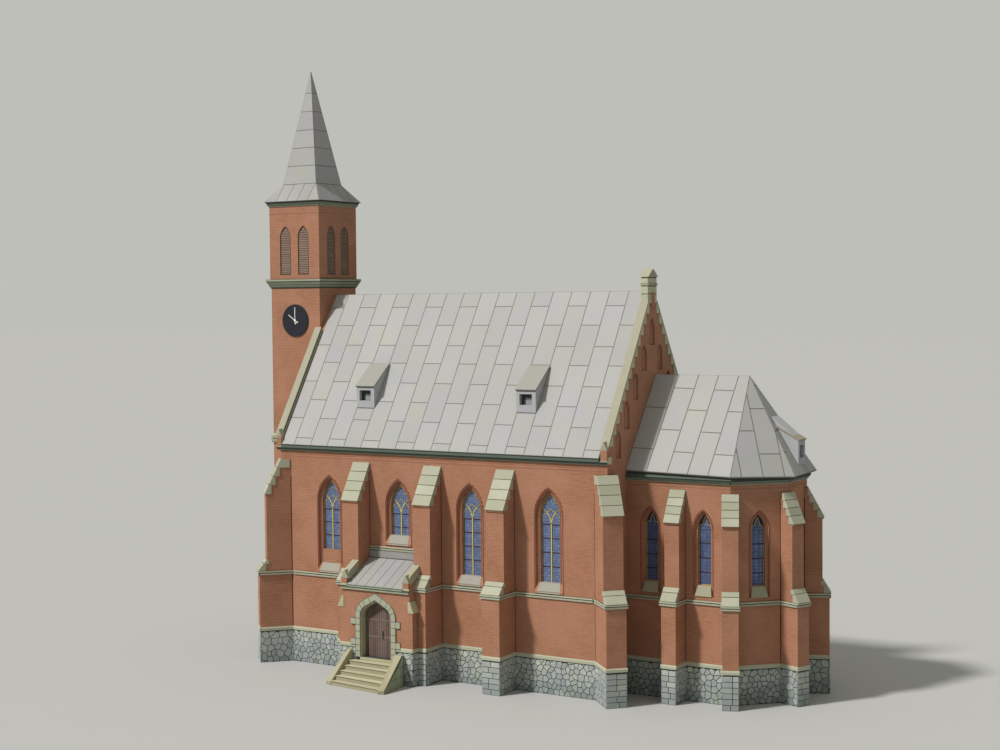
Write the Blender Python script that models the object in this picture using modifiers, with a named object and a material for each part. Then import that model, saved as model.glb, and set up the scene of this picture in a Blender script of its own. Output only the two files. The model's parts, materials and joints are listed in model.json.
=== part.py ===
# Card model of a brick village church with a west tower, a four-bay nave, a side porch and a
# polygonal choir. Lengths are given in millimetres and turned into metres by MM.
# X runs along the nave from the tower to the choir, -Y is the side with the porch, Z is up.
# Pieces are laid out from the ground on the middle line of the tower and the choir and from the
# nave's outer west face. The nave is laid out round its own ridge line and then set at NAVE_AXIS.
# The finished model is moved so that the origin lies under the middle of its box.
import math

import bmesh
import bpy
from mathutils import Matrix, Vector

MM = 0.001
GAP = 0.05

# Nave
NAVE_LENGTH = 122.5
NAVE_AXIS = -2.4
NAVE_HALF = 30.5
SOUTH_FACE = NAVE_AXIS - NAVE_HALF
NORTH_FACE = NAVE_AXIS + NAVE_HALF
SIDE_WALL = 1.8
EAST_GABLE = 2.3
WALL_TOP = 72.7
RIDGE = 122.0
EAVE = 31.5
EAVE_TOP = 72.4
ROOF_CARD = 1.06
PARAPET_RISE = 0.85
COPING_RISE = 1.85
ROOF_WEST = 1.3
CORNICE_TOP = 72.55
KNEELER_TOP = 75.0
KNEELER_APEX = 77.4

# Levels shared by the walls and the buttresses
STRING_FOOT = 29.2
STRING_TOP = 30.4
STRING_OUT = 0.3

# Tower
TOWER_X = -10.55
SHAFT_HALF = 10.48
SHAFT_TOP = 124.4
BELFRY_HALF = 10.77
BELFRY_FOOT = 127.55
BELFRY_TOP = 152.7
BELFRY_CARD = 0.75
SKIRT_HALF = 12.16
SKIRT_FOOT = 154.4
SPIRE_HALF = 7.24
SPIRE_FOOT = 160.55
SPIRE_TIP = 200.0
TOWER_CARD = 1.2
CLOCK_HEIGHT = 113.2
CLOCK_RADIUS = 5.57

# Choir
CHOIR_HALF = 20.05
CHOIR_CORNER = 156.05
CHOIR_END = 168.85
CHOIR_FACET = 7.25
CHOIR_FACET_NORTH = 8.2
CHOIR_WALL_TOP = 68.4
CHOIR_RIDGE = 96.0
CHOIR_APEX = 153.9
CHOIR_EAVE_START = 1.15
CHOIR_EAVE_OUT = 1.6
CHOIR_EAVE_TOP = 67.4
APSE_EAVE_SOUTH = (171.2, -7.4, 66.9)
APSE_EAVE_NORTH = (171.5, 9.5, 67.4)

# Porch
PORCH_LEFT = 34.0
PORCH_RIGHT = 59.9
PORCH_FRONT = 45.5
PORCH_BACK = 42.65
PORCH_MIDDLE = 47.05
PORCH_SIDE = 2.3
PORCH_WALL_TOP = 28.8
PIER_OUT = 1.05
PIER_CAP_FOOT = 22.9
PIER_CAP_TOP = 26.4
DOOR_SILL = 7.5
DOOR_SPRING = 20.5
DOOR_DEPTH = 2.2

# Positions along the nave and the choir
NAVE_BUTTRESSES = (33.2, 60.7, 87.45)
CHOIR_BUTTRESS = 139.3
NAVE_WINDOWS = (
    {"middle": 20.05, "glass_foot": 38.3, "sill": 31.0},
    {"middle": 47.4, "glass_foot": 44.65, "sill": 41.8},
    {"middle": 74.3, "glass_foot": 33.85, "sill": 31.0},
    {"middle": 102.45, "glass_foot": 33.85, "sill": 31.0},
)
CHOIR_WINDOWS = (130.2, 147.4)


def roof_height(y):
    """Height of the nave roof's upper face at the distance y from the ridge line."""
    return RIDGE - (RIDGE - EAVE_TOP) * abs(y) / EAVE


def clear_scene():
    for item in list(bpy.data.objects):
        bpy.data.objects.remove(item, do_unlink=True)


def new_collection(name):
    collection = bpy.data.collections.new(name)
    bpy.context.scene.collection.children.link(collection)
    return collection


clear_scene()
parts = new_collection("card_church")
cutters = new_collection("cutters")


def material(name, colour, roughness=0.8):
    """Principled material from an sRGB hex colour."""
    red, green, blue = (int(colour[i:i + 2], 16) / 255 for i in (1, 3, 5))
    linear = [c / 12.92 if c <= 0.04045 else ((c + 0.055) / 1.055) ** 2.4 for c in (red, green, blue)]
    made = bpy.data.materials.new(name)
    made.use_nodes = True
    shader = made.node_tree.nodes["Principled BSDF"]
    shader.inputs["Base Color"].default_value = (*linear, 1)
    shader.inputs["Roughness"].default_value = roughness
    made.diffuse_color = (*linear, 1)
    return made


BRICK = material("printed_brick_card", "#A86E54")
STONE = material("printed_stone_card", "#C8CBB2")
SHEET = material("printed_sheet_roof_card", "#BDBDBA")
CORNICE = material("printed_cornice_card", "#616D5C")
GLASS = material("printed_window_card", "#5E6E96", 0.6)
LOUVRE = material("printed_louvre_card", "#7A5346")
CLOCK = material("printed_clock_card", "#2D303A", 0.6)
WOOD = material("printed_door_card", "#6E5852")


def place(item, collection):
    for owner in list(item.users_collection):
        owner.objects.unlink(item)
    collection.objects.link(item)


def finish(item, name, surface, as_cutter=False):
    """Names an object and puts it with the parts, or with the wire-drawn cutters."""
    item.name = name
    item.data.name = name
    if as_cutter:
        place(item, cutters)
        item.hide_render = True
        item.display_type = "WIRE"
    else:
        place(item, parts)
        item.data.materials.clear()
        item.data.materials.append(surface)
    return item


def block(name, low, high, surface=None):
    """Box between two opposite corners, with its scale applied."""
    middle = [(a + b) / 2 * MM for a, b in zip(low, high)]
    size = [abs(b - a) * MM for a, b in zip(low, high)]
    bpy.ops.mesh.primitive_cube_add(size=1, location=middle)
    item = bpy.context.active_object
    item.data.transform(Matrix.Diagonal((*size, 1)))
    return finish(item, name, surface, surface is None)


TURNS = {
    "X": (math.radians(90), 0, math.radians(90)),
    "Y": (math.radians(90), 0, 0),
    "Z": (0, 0, 0),
}


def slab(name, outlines, axis, start, end, surface=None, origin=(0, 0, 0), heading=None):
    """Flat outlines filled and extruded from start to end along an axis.

    The outlines are (Y, Z) pairs for axis X, (X, Z) for axis Y and (X, Y) for axis Z.
    With a heading the outline stands upright and runs along that compass angle, and
    start and end are measured to its right.
    """
    curve = bpy.data.curves.new(name, "CURVE")
    curve.dimensions = "2D"
    curve.fill_mode = "BOTH"
    curve.extrude = abs(end - start) / 2 * MM
    for outline in outlines:
        spline = curve.splines.new("POLY")
        spline.points.add(len(outline) - 1)
        for point, (u, v) in zip(spline.points, outline):
            point.co = (u * MM, v * MM, 0, 1)
        spline.use_cyclic_u = True
    item = bpy.data.objects.new(name, curve)
    parts.objects.link(item)
    middle = (start + end) / 2
    if heading is None:
        item.rotation_euler = TURNS[axis]
        offset = {"X": (middle, 0, 0), "Y": (0, middle, 0), "Z": (0, 0, middle)}[axis]
    else:
        item.rotation_euler = (math.radians(90), 0, heading)
        offset = (middle * math.sin(heading), -middle * math.cos(heading), 0)
    item.location = [(a + b) * MM for a, b in zip(origin, offset)]
    bpy.context.view_layer.update()
    evaluated = item.evaluated_get(bpy.context.evaluated_depsgraph_get())
    mesh = bpy.data.meshes.new_from_object(evaluated)
    solid = bmesh.new()
    solid.from_mesh(mesh)
    bmesh.ops.remove_doubles(solid, verts=solid.verts, dist=0.000001)
    bmesh.ops.dissolve_limit(solid, angle_limit=0.001, verts=solid.verts, edges=solid.edges)
    bmesh.ops.recalc_face_normals(solid, faces=solid.faces)
    solid.to_mesh(mesh)
    solid.free()
    made = bpy.data.objects.new(name, mesh)
    parts.objects.link(made)
    made.matrix_world = item.matrix_world
    bpy.data.objects.remove(item, do_unlink=True)
    return finish(made, name, surface, surface is None)


def pyramid(name, low_half, high_half, low, high, middle, surface=None):
    """Square frustum with upright middle line."""
    solid = bmesh.new()
    root = math.sqrt(2)
    bmesh.ops.create_cone(
        solid,
        cap_ends=True,
        segments=4,
        radius1=low_half * root * MM,
        radius2=high_half * root * MM,
        depth=(high - low) * MM,
        matrix=Matrix.Rotation(math.radians(45), 4, "Z"),
    )
    mesh = bpy.data.meshes.new(name)
    solid.to_mesh(mesh)
    solid.free()
    item = bpy.data.objects.new(name, mesh)
    parts.objects.link(item)
    item.location = (middle[0] * MM, middle[1] * MM, (low + high) / 2 * MM)
    return finish(item, name, surface, surface is None)


def combine(item, other, operation):
    modifier = item.modifiers.new(other.name, "BOOLEAN")
    modifier.operation = operation
    modifier.solver = "EXACT"
    modifier.object = other
    return item


def cut(item, other):
    return combine(item, other, "DIFFERENCE")


def fuse(item, other):
    return combine(item, other, "UNION")


def pointed_arch(middle, foot, spring, apex, half, steps=7):
    """Outline of a pointed opening: straight sides and two arcs that meet at the apex."""
    rise = apex - spring
    radius = (half * half + rise * rise) / (2 * half)
    sweep = math.atan2(rise, radius - half)
    points = [(middle - half, foot), (middle + half, foot)]
    for step in range(steps + 1):
        angle = sweep * step / steps
        points.append((middle + half - radius + radius * math.cos(angle), spring + radius * math.sin(angle)))
    for step in range(steps - 1, -1, -1):
        angle = sweep * step / steps
        points.append((middle - half + radius - radius * math.cos(angle), spring + radius * math.sin(angle)))
    return points


def offset_outline(points, distance):
    """Moves an open outline to its right by a distance, with mitred corners."""
    moved = []
    for index, point in enumerate(points):
        here = Vector(point)
        normals = []
        if index > 0:
            step = (here - Vector(points[index - 1])).normalized()
            normals.append(Vector((step.y, -step.x)))
        if index < len(points) - 1:
            step = (Vector(points[index + 1]) - here).normalized()
            normals.append(Vector((step.y, -step.x)))
        direction = sum(normals, Vector((0, 0))).normalized()
        shift = here + direction * distance / direction.dot(normals[0])
        moved.append((shift.x, shift.y))
    return moved


def mirrored(points):
    return [(-u, v) for u, v in reversed(points)]


def low_arch(middle, foot, spring, apex, half, haunch, steps=6):
    """Outline of a low pointed opening: short arcs at the springing and straight slopes."""
    rise = apex - spring
    inset = half - haunch
    sweep = math.asin(haunch / math.hypot(rise, inset)) + math.atan2(inset, rise)
    right = []
    for step in range(steps + 1):
        angle = sweep * step / steps
        right.append((inset + haunch * math.cos(angle), spring + haunch * math.sin(angle)))
    left = [(middle - u, v) for u, v in reversed(right)]
    right = [(middle + u, v) for u, v in right]
    return [(middle - half, foot), (middle + half, foot), *right, (middle, apex), *left]


def moulding(name, line, profile, surface):
    """Runs a closed profile of (outward, height) points along the right side of a line."""
    solid = bmesh.new()
    rows = []
    for outward, height in profile:
        run = offset_outline(line, outward)
        rows.append([solid.verts.new((x * MM, y * MM, height * MM)) for x, y in run])
    for row, following in zip(rows, rows[1:] + rows[:1]):
        for index in range(len(row) - 1):
            solid.faces.new((row[index], row[index + 1], following[index + 1], following[index]))
    solid.faces.new([row[0] for row in rows])
    solid.faces.new([row[-1] for row in rows])
    bmesh.ops.recalc_face_normals(solid, faces=solid.faces)
    mesh = bpy.data.meshes.new(name)
    solid.to_mesh(mesh)
    solid.free()
    item = bpy.data.objects.new(name, mesh)
    parts.objects.link(item)
    return finish(item, name, surface)


# Nave side walls: stepped pointed window openings, sloping sills and a string course.
WINDOW_OUTER = {"spring": 54.4, "apex": 62.4, "half": 4.65}
WINDOW_INNER = {"spring": 54.4, "apex": 60.9, "half": 3.45}
STEP_DEPTH = 0.9


def nave_side_wall(name, side):
    outer = side * NAVE_HALF
    inner = side * (NAVE_HALF - SIDE_WALL)
    step = side * (NAVE_HALF - STEP_DEPTH)
    wall = block(name, (0, outer, 0), (NAVE_LENGTH, inner, WALL_TOP), BRICK)
    shallow = []
    deep = []
    for window in NAVE_WINDOWS:
        low = window["sill"] if side < 0 or window["middle"] != 47.4 else 31.0
        glass = window["glass_foot"] if side < 0 else 33.85
        shallow.append(pointed_arch(window["middle"], low, **WINDOW_OUTER))
        deep.append(pointed_arch(window["middle"], glass, **WINDOW_INNER))
    cut(wall, slab(name + "_outer_reveals", shallow, "Y", step, outer + side * 2))
    cut(wall, slab(name + "_inner_reveals", deep, "Y", inner - side * 2, outer + side * 2))
    for number, window in enumerate(NAVE_WINDOWS, 1):
        low = window["sill"] if side < 0 or window["middle"] != 47.4 else 31.0
        top = low + 2.8
        left = window["middle"] - WINDOW_OUTER["half"] - 0.2
        right = window["middle"] + WINDOW_OUTER["half"] + 0.2
        profile = [(outer + side * 0.35, low - 0.3), (step - side * 0.3, low - 0.3)]
        profile += [(step - side * 0.3, top), (step, top), (outer + side * 0.35, low + 0.3)]
        fuse(wall, slab(f"{name}_sill_{number}", [profile], "X", left, right))
    reach = 3.6
    stops = [5.0]
    for middle in NAVE_BUTTRESSES:
        stops += [middle - reach, middle + reach]
    stops.append(NAVE_LENGTH - 5.0)
    for number in range(4):
        left, right = stops[2 * number], stops[2 * number + 1]
        if side < 0 and number == 1:
            low, high = 39.7, 41.1
        else:
            low, high = STRING_FOOT, STRING_TOP
        band = block(
            f"{name}_string_{number + 1}",
            (left, outer + side * STRING_OUT, low),
            (right, outer - side * 0.4, high),
        )
        fuse(wall, band)
    return wall


nave_side_wall("nave_south_wall", -1)
nave_side_wall("nave_north_wall", 1)

# West gable wall: carries the roof on an inner rebate and rises past it beside the tower.
side = NAVE_HALF - SIDE_WALL - GAP
under = ROOF_CARD + 0.08
edge = NAVE_HALF + 0.1
south_flank = SHAFT_HALF + 0.12 + NAVE_AXIS
north_flank = SHAFT_HALF + 0.12 - NAVE_AXIS


def gable_half(start, first):
    """Half outline of a gable wall, from the ridge side out over the parapet and down."""
    half = [(start, first), (start, roof_height(start) + PARAPET_RISE)]
    half += [(edge, roof_height(edge) + PARAPET_RISE), (edge, WALL_TOP + 0.1)]
    return half + [(side, WALL_TOP + 0.2), (side, 0)]


west_south = gable_half(south_flank, roof_height(south_flank) - 0.1)
west_north = gable_half(north_flank, roof_height(north_flank) - 0.1)
west_outline = [(-y, z) for y, z in reversed(west_south)] + [(0, RIDGE - 0.1)] + west_north
west_wall = slab("nave_west_wall", [west_outline], "X", 0, SIDE_WALL, BRICK)
above = [(-40, roof_height(40) - under), (0, RIDGE - under), (40, roof_height(40) - under)]
above += [(40, 140), (-40, 140)]
cut(west_wall, slab("west_rebate", [above], "X", ROOF_WEST - GAP, 4.0))
WEST_STRINGS = ((5.0 - NAVE_HALF, -south_flank - 0.2), (north_flank + 0.2, NAVE_HALF - 5.0))
for number, (low, high) in enumerate(WEST_STRINGS, 1):
    fuse(west_wall, block(f"west_string_{number}", (-STRING_OUT, low, STRING_FOOT), (0.4, high, STRING_TOP)))

# East gable wall: parapet over the roof, flat seat for the finial, blind pointed panels.
seat = 3.05
crown = roof_height(seat) + PARAPET_RISE
east_half = gable_half(seat, crown)[1:]
east_outline = [(-y, z) for y, z in reversed(east_half)] + east_half
east_wall = slab("nave_east_wall", [east_outline], "X", NAVE_LENGTH - EAST_GABLE, NAVE_LENGTH, BRICK)
BLIND_PANELS = (
    (0, 105.0, 113.1), (5.5, 97.3, 105.0), (11.5, 88.8, 96.7), (17.5, 80.2, 88.5), (23.3, 71.8, 79.9))
panels = []
for offset, low, apex in BLIND_PANELS:
    for y in {offset, -offset}:
        panels.append(pointed_arch(y, low, apex - 2.4, apex, 1.4, 4))
panels.sort()
cut(east_wall, slab("blind_panels", panels, "X", NAVE_LENGTH - 0.5, NAVE_LENGTH + 2))

# Nave roof: one folded card with both slopes.
roof_outline = [(-EAVE, EAVE_TOP), (-EAVE, EAVE_TOP - ROOF_CARD), (0, RIDGE - ROOF_CARD)]
roof_outline += [(EAVE, EAVE_TOP - ROOF_CARD), (EAVE, EAVE_TOP), (0, RIDGE)]
slab("nave_roof", [roof_outline], "X", ROOF_WEST, NAVE_LENGTH - EAST_GABLE - GAP, SHEET)

# Eave cornices under the roof's lower edges, running on under the kneelers.
for name, side_sign in (("south_eave_cornice", -1), ("north_eave_cornice", 1)):
    back, lip, front = NAVE_HALF + GAP, NAVE_HALF + 0.5, NAVE_HALF + 0.95
    profile = [(back, 70.5), (lip, 70.5), (front, 71.25), (back, CORNICE_TOP)]
    if side_sign < 0:
        profile = mirrored(profile)
    slab(name, [profile], "X", -1.0, NAVE_LENGTH + 0.2, CORNICE)


# Gable copings, each with a kneeler block at its foot and a small gabled cap on the block.
def gable_coping(name, side_sign, top, edges, block_edges):
    foot = NAVE_HALF + 0.4
    inner, outer = NAVE_HALF + 0.18, NAVE_HALF + 1.05
    clear = NAVE_HALF + 0.16
    outline = [(top, roof_height(top) + PARAPET_RISE + GAP), (top, roof_height(top) + COPING_RISE)]
    outline += [(foot, roof_height(foot) + COPING_RISE), (foot, roof_height(foot) + PARAPET_RISE + GAP)]
    kneeler = [(inner, 72.65), (outer, 71.4), (outer, KNEELER_TOP), (inner, KNEELER_TOP)]
    wall_space = [(5.0, 60.0), (clear, 60.0)]
    wall_space += [(y, roof_height(y) + PARAPET_RISE + GAP + 0.03) for y in (clear, 5.0)]
    if side_sign < 0:
        outline, kneeler, wall_space = mirrored(outline), mirrored(kneeler), mirrored(wall_space)
    coping = slab(name, [outline], "X", *edges, STONE)
    left, right = block_edges
    cap_outline = [(left - 0.12, KNEELER_TOP - 0.1), (right + 0.12, KNEELER_TOP - 0.1)]
    cap_outline.append(((left + right) / 2, KNEELER_APEX))
    near, far = sorted((side_sign * (outer + 0.1), side_sign * (NAVE_HALF - 1.3)))
    cap = slab(name + "_cap", [cap_outline], "Y", near, far)
    cut(cap, slab(name + "_wall_space", [wall_space], "X", left - 2, right + 2))
    fuse(coping, slab(name + "_kneeler", [kneeler], "X", left, right))
    return fuse(coping, cap)


WEST_EDGES = (-2.0, 0.6)
WEST_BLOCK = (-0.75, 1.2)
EAST_EDGES = (120.2, 122.85)
EAST_BLOCK = (120.8, 122.95)
gable_coping("west_coping_south", -1, south_flank, WEST_EDGES, WEST_BLOCK)
gable_coping("west_coping_north", 1, north_flank, WEST_EDGES, WEST_BLOCK)
gable_coping("east_coping_south", -1, seat + GAP, EAST_EDGES, EAST_BLOCK)
gable_coping("east_coping_north", 1, seat + GAP, EAST_EDGES, EAST_BLOCK)

# Ridge finial: a small pier with a two-tier cap.
finial = block("ridge_finial", (120.4, -3.0, crown + GAP), (122.6, 3.0, 126.4), STONE)
fuse(finial, block("finial_band", (120.1, -3.3, 123.6), (122.9, 3.3, 124.3)))
finial_cap = [(-3.4, 126.2), (3.4, 126.2), (1.8, 127.6), (0.0, 128.8), (-1.8, 127.6)]
fuse(finial, slab("finial_cap", [finial_cap], "X", 120.0, 123.0))

# The ridge line lies a little south of the middle of the tower and the choir.
for item in list(parts.objects) + list(cutters.objects):
    item.location.y += NAVE_AXIS * MM


# Tower: square shaft, moulded cornice, belfry with stepped louvre openings.
def square_tube(name, half, card, low, high, surface):
    item = block(name, (TOWER_X - half, -half, low), (TOWER_X + half, half, high), surface)
    room = half - card
    hollow = block(name + "_hollow", (TOWER_X - room, -room, low - 5), (TOWER_X + room, room, high + 5))
    return cut(item, hollow)


square_tube("tower_shaft", SHAFT_HALF, TOWER_CARD, 0, SHAFT_TOP, BRICK)
middle = (TOWER_X, 0)
shaft_cornice = pyramid("shaft_cornice", 10.6, 11.87, SHAFT_TOP + GAP, 126.9, middle, CORNICE)
cap_low = (TOWER_X - 11.87, -11.87, 126.7)
cap_high = (TOWER_X + 11.87, 11.87, BELFRY_FOOT - GAP)
fuse(shaft_cornice, block("shaft_cornice_top", cap_low, cap_high))
belfry = square_tube("belfry", BELFRY_HALF, BELFRY_CARD, BELFRY_FOOT, BELFRY_TOP, BRICK)
for number, turn in enumerate((0, 90, 180, 270), 1):
    heading = math.radians(turn)
    shallow = [pointed_arch(x, 129.0, 141.9, 146.0, 2.35, 5) for x in (-3.9, 3.9)]
    deep = [pointed_arch(x, 129.6, 142.1, 145.2, 1.5, 5) for x in (-3.9, 3.9)]
    centre = (TOWER_X, 0, 0)
    outer = BELFRY_HALF
    cut(belfry, slab(f"louvre_recess_{number}", shallow, "Y", outer - 0.5, outer + 2, None, centre, heading))
    cut(belfry, slab(f"louvre_opening_{number}", deep, "Y", outer - 2.5, outer + 2, None, centre, heading))
square_tube("belfry_louvres", BELFRY_HALF - BELFRY_CARD - GAP, 0.6, BELFRY_FOOT + 0.05, 151.5, LOUVRE)
eave_cornice = pyramid("belfry_cornice", 10.9, 11.7, BELFRY_TOP + GAP, SKIRT_FOOT - GAP, middle, CORNICE)
skirt = pyramid("spire_skirt", SKIRT_HALF, SPIRE_HALF, SKIRT_FOOT, SPIRE_FOOT - 0.02, middle, SHEET)
skirt_hollow = pyramid(
    "skirt_hollow", SKIRT_HALF - 0.9, SPIRE_HALF - 0.9, SKIRT_FOOT - 0.01, SPIRE_FOOT + 0.01, middle)
cut(skirt, skirt_hollow)
spire = pyramid("spire", SPIRE_HALF, 0.12, SPIRE_FOOT + 0.03, SPIRE_TIP, middle, SHEET)
cut(spire, pyramid("spire_hollow", SPIRE_HALF - 0.9, 0.05, SPIRE_FOOT - 0.5, SPIRE_TIP - 5.0, middle))


def clock_disc(name, heading):
    bpy.ops.mesh.primitive_cylinder_add(vertices=48, radius=CLOCK_RADIUS * MM, depth=0.35 * MM)
    item = bpy.context.active_object
    reach = SHAFT_HALF + GAP + 0.175
    item.rotation_euler = (math.radians(90), 0, heading)
    item.location = (
        (TOWER_X + reach * math.sin(heading)) * MM,
        -reach * math.cos(heading) * MM,
        CLOCK_HEIGHT * MM,
    )
    return finish(item, name, CLOCK)


clock_disc("south_clock", 0)
clock_disc("west_clock", math.radians(-90))
clock_disc("north_clock", math.radians(180))

# Weathered string course round the tower's three free sides at the nave's eave height.
tower_west = TOWER_X - SHAFT_HALF
TOWER_LINE = [(-0.1, SHAFT_HALF), (tower_west, SHAFT_HALF), (tower_west, -SHAFT_HALF), (-0.1, -SHAFT_HALF)]
TOWER_PROFILE = [(GAP, 70.4), (0.4, 70.4), (0.6, 70.9), (0.6, 72.9), (GAP, 73.7)]
moulding("tower_string", TOWER_LINE, TOWER_PROFILE, CORNICE)

# Buttresses: two stages, a long sloping cap and a short one at the string course.
nave_body = block("nave_body", (-GAP, SOUTH_FACE - GAP, -5), (NAVE_LENGTH + GAP, NORTH_FACE + GAP, 80))
CHOIR_LINE = [
    (NAVE_LENGTH + GAP, -CHOIR_HALF),
    (CHOIR_CORNER, -CHOIR_HALF),
    (CHOIR_END, -CHOIR_FACET),
    (CHOIR_END, CHOIR_FACET_NORTH),
    (CHOIR_CORNER, CHOIR_HALF),
    (NAVE_LENGTH + GAP, CHOIR_HALF),
]
choir_body = slab("choir_body", [offset_outline(CHOIR_LINE, GAP)], "Z", -5, 80)


def buttress(name, corner, bearing, size, body=None):
    """Buttress at a wall point; the bearing is turned from due south towards the east."""
    width, upper, lower, foot, top, low_top = (
        size["width"], size["upper"], size["lower"], size["cap_foot"], size["cap_top"], size["low_cap_top"])
    back = -4.0 if body else GAP
    start = 0.0 if body else GAP
    outline = [(back, 0), (lower, 0), (lower, 29.0), (lower + 0.25, 29.0), (lower + 0.25, 30.3)]
    outline += [(upper, low_top), (upper, foot - 0.35), (upper + 0.35, foot - 0.35), (upper + 0.35, foot)]
    outline += [(start, top), (back, top)]
    if not body:
        outline.pop(-2)
    heading = math.radians(bearing - 90)
    origin = (corner[0], corner[1], 0)
    half = width / 2
    item = slab(name, [outline], "Y", -half, half, BRICK, origin, heading)
    wide = half + STRING_OUT
    band = [(back, STRING_FOOT), (lower + 0.2, STRING_FOOT), (lower + 0.2, 30.2), (lower, STRING_TOP)]
    band.append((back, STRING_TOP))
    fuse(item, slab(name + "_string", [band], "Y", -wide, wide, None, origin, heading))
    if body:
        cut(item, body)
    return item


NAVE_SIZE = {
    "width": 6.2, "upper": 6.6, "lower": 9.6, "cap_foot": 55.8, "cap_top": 67.5, "low_cap_top": 33.9}
DIAGONAL_SIZE = {
    "width": 6.2, "upper": 5.3, "lower": 7.9, "cap_foot": 56.0, "cap_top": 67.4, "low_cap_top": 34.0}
CHOIR_SIZE = {
    "width": 4.7, "upper": 4.5, "lower": 7.0, "cap_foot": 53.4, "cap_top": 62.7, "low_cap_top": 34.2}
APSE_SIZE = {
    "width": 4.7, "upper": 3.9, "lower": 6.0, "cap_foot": 53.3, "cap_top": 62.2, "low_cap_top": 34.2}
FAR_APSE_SIZE = {**APSE_SIZE, "upper": 4.5, "lower": 6.6}

for number, x in enumerate(NAVE_BUTTRESSES, 1):
    buttress(f"nave_south_buttress_{number}", (x, SOUTH_FACE), 0, NAVE_SIZE)
    buttress(f"nave_north_buttress_{number}", (x, NORTH_FACE), 180, NAVE_SIZE)
buttress("southwest_corner_buttress", (0, SOUTH_FACE), -45, DIAGONAL_SIZE, nave_body)
buttress("southeast_corner_buttress", (NAVE_LENGTH, SOUTH_FACE), 45, DIAGONAL_SIZE, nave_body)
buttress("northeast_corner_buttress", (NAVE_LENGTH, NORTH_FACE), 135, DIAGONAL_SIZE, nave_body)
buttress("northwest_corner_buttress", (0, NORTH_FACE), 225, DIAGONAL_SIZE, nave_body)
buttress("choir_south_buttress", (CHOIR_BUTTRESS, -CHOIR_HALF), 0, CHOIR_SIZE)
buttress("choir_north_buttress", (CHOIR_BUTTRESS, CHOIR_HALF), 180, CHOIR_SIZE)
buttress("apse_buttress_south", CHOIR_LINE[1], 22.5, APSE_SIZE, choir_body)
buttress("apse_buttress_southeast", CHOIR_LINE[2], 67.5, APSE_SIZE, choir_body)
buttress("apse_buttress_northeast", CHOIR_LINE[3], 112.5, FAR_APSE_SIZE, choir_body)
buttress("apse_buttress_north", CHOIR_LINE[4], 157.5, APSE_SIZE, choir_body)

# Choir: one folded wall with a pointed window in each bay and facet.
inner_line = offset_outline(CHOIR_LINE, -SIDE_WALL)
choir_walls = slab("choir_walls", [CHOIR_LINE + inner_line[::-1]], "Z", 0, CHOIR_WALL_TOP, BRICK)
CHOIR_OUTER = {"foot": 31.6, "spring": 51.5, "apex": 57.0, "half": 3.0}
CHOIR_INNER = {"foot": 34.8, "spring": 51.5, "apex": 56.0, "half": 2.1}
facets = []
for start, end in zip(CHOIR_LINE, CHOIR_LINE[1:]):
    step = Vector(end) - Vector(start)
    facets.append((start, math.atan2(step.y, step.x), step.length))
WINDOWS_ON_FACET = (
    [x - CHOIR_LINE[0][0] for x in CHOIR_WINDOWS],
    [facets[1][2] / 2],
    [facets[2][2] / 2],
    [facets[3][2] / 2],
    [CHOIR_LINE[1][0] - x for x in reversed(CHOIR_WINDOWS)],
)
for number, ((start, heading, length), places) in enumerate(zip(facets, WINDOWS_ON_FACET), 1):
    origin = (start[0], start[1], 0)
    shallow = [pointed_arch(x, **CHOIR_OUTER) for x in places]
    deep = [pointed_arch(x, **CHOIR_INNER) for x in places]
    cut(choir_walls, slab(f"choir_recess_{number}", shallow, "Y", -STEP_DEPTH, 2, None, origin, heading))
    cut(choir_walls, slab(f"choir_opening_{number}", deep, "Y", -4, 2, None, origin, heading))
    spans = {0: ((0.4, 13.9), (19.6, length - 3.1)), 4: ((3.1, length - 19.6), (length - 13.9, length - 0.4))}
    for part, (left, right) in enumerate(spans.get(number - 1, ((3.1, length - 3.1),)), 1):
        outline = [(left, STRING_FOOT), (right, STRING_FOOT), (right, STRING_TOP), (left, STRING_TOP)]
        name = f"choir_string_{number}_{part}"
        fuse(choir_walls, slab(name, [outline], "Y", -0.4, STRING_OUT, None, origin, heading))

# Choir window card: one strip folded round behind the openings.
window_outer = offset_outline(CHOIR_LINE, -SIDE_WALL - GAP)
window_inner = offset_outline(CHOIR_LINE, -SIDE_WALL - 0.55)
for line in (window_outer, window_inner):
    line[0] = (line[0][0] + 1.0, line[0][1])
    line[-1] = (line[-1][0] + 1.0, line[-1][1])
slab("choir_windows", [window_outer + window_inner[::-1]], "Z", 28.0, 60.0, GLASS)

# Nave window cards behind the side walls.
for name, sign in (("nave_south_windows", -1), ("nave_north_windows", 1)):
    outer = NAVE_AXIS + sign * (NAVE_HALF - SIDE_WALL - GAP)
    block(name, (3.0, outer, 28.0), (NAVE_LENGTH - 4.0, outer - sign * 0.5, 66.0), GLASS)

# Choir cornice and roof.
moulding("choir_cornice", CHOIR_LINE, [(GAP, 65.0), (0.35, 65.0), (1.25, 66.3), (GAP, 67.6)], CORNICE)
ridge_start = (NAVE_LENGTH + GAP, 0, CHOIR_RIDGE)
apex = (CHOIR_APEX, 0, CHOIR_RIDGE)
_, south_turn, _, _, north_turn, _ = offset_outline(CHOIR_LINE, CHOIR_EAVE_OUT)
eave_start = CHOIR_HALF + CHOIR_EAVE_START
start_height = CHOIR_RIDGE - (CHOIR_RIDGE - CHOIR_EAVE_TOP) * eave_start / (CHOIR_HALF + CHOIR_EAVE_OUT)
corners = [
    (NAVE_LENGTH + GAP, -eave_start, start_height),
    (*south_turn, CHOIR_EAVE_TOP),
    APSE_EAVE_SOUTH,
    APSE_EAVE_NORTH,
    (*north_turn, CHOIR_EAVE_TOP),
    (NAVE_LENGTH + GAP, eave_start, start_height),
]
surface = bmesh.new()
vertices = [surface.verts.new([c * MM for c in point]) for point in (*corners, ridge_start, apex)]
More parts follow.
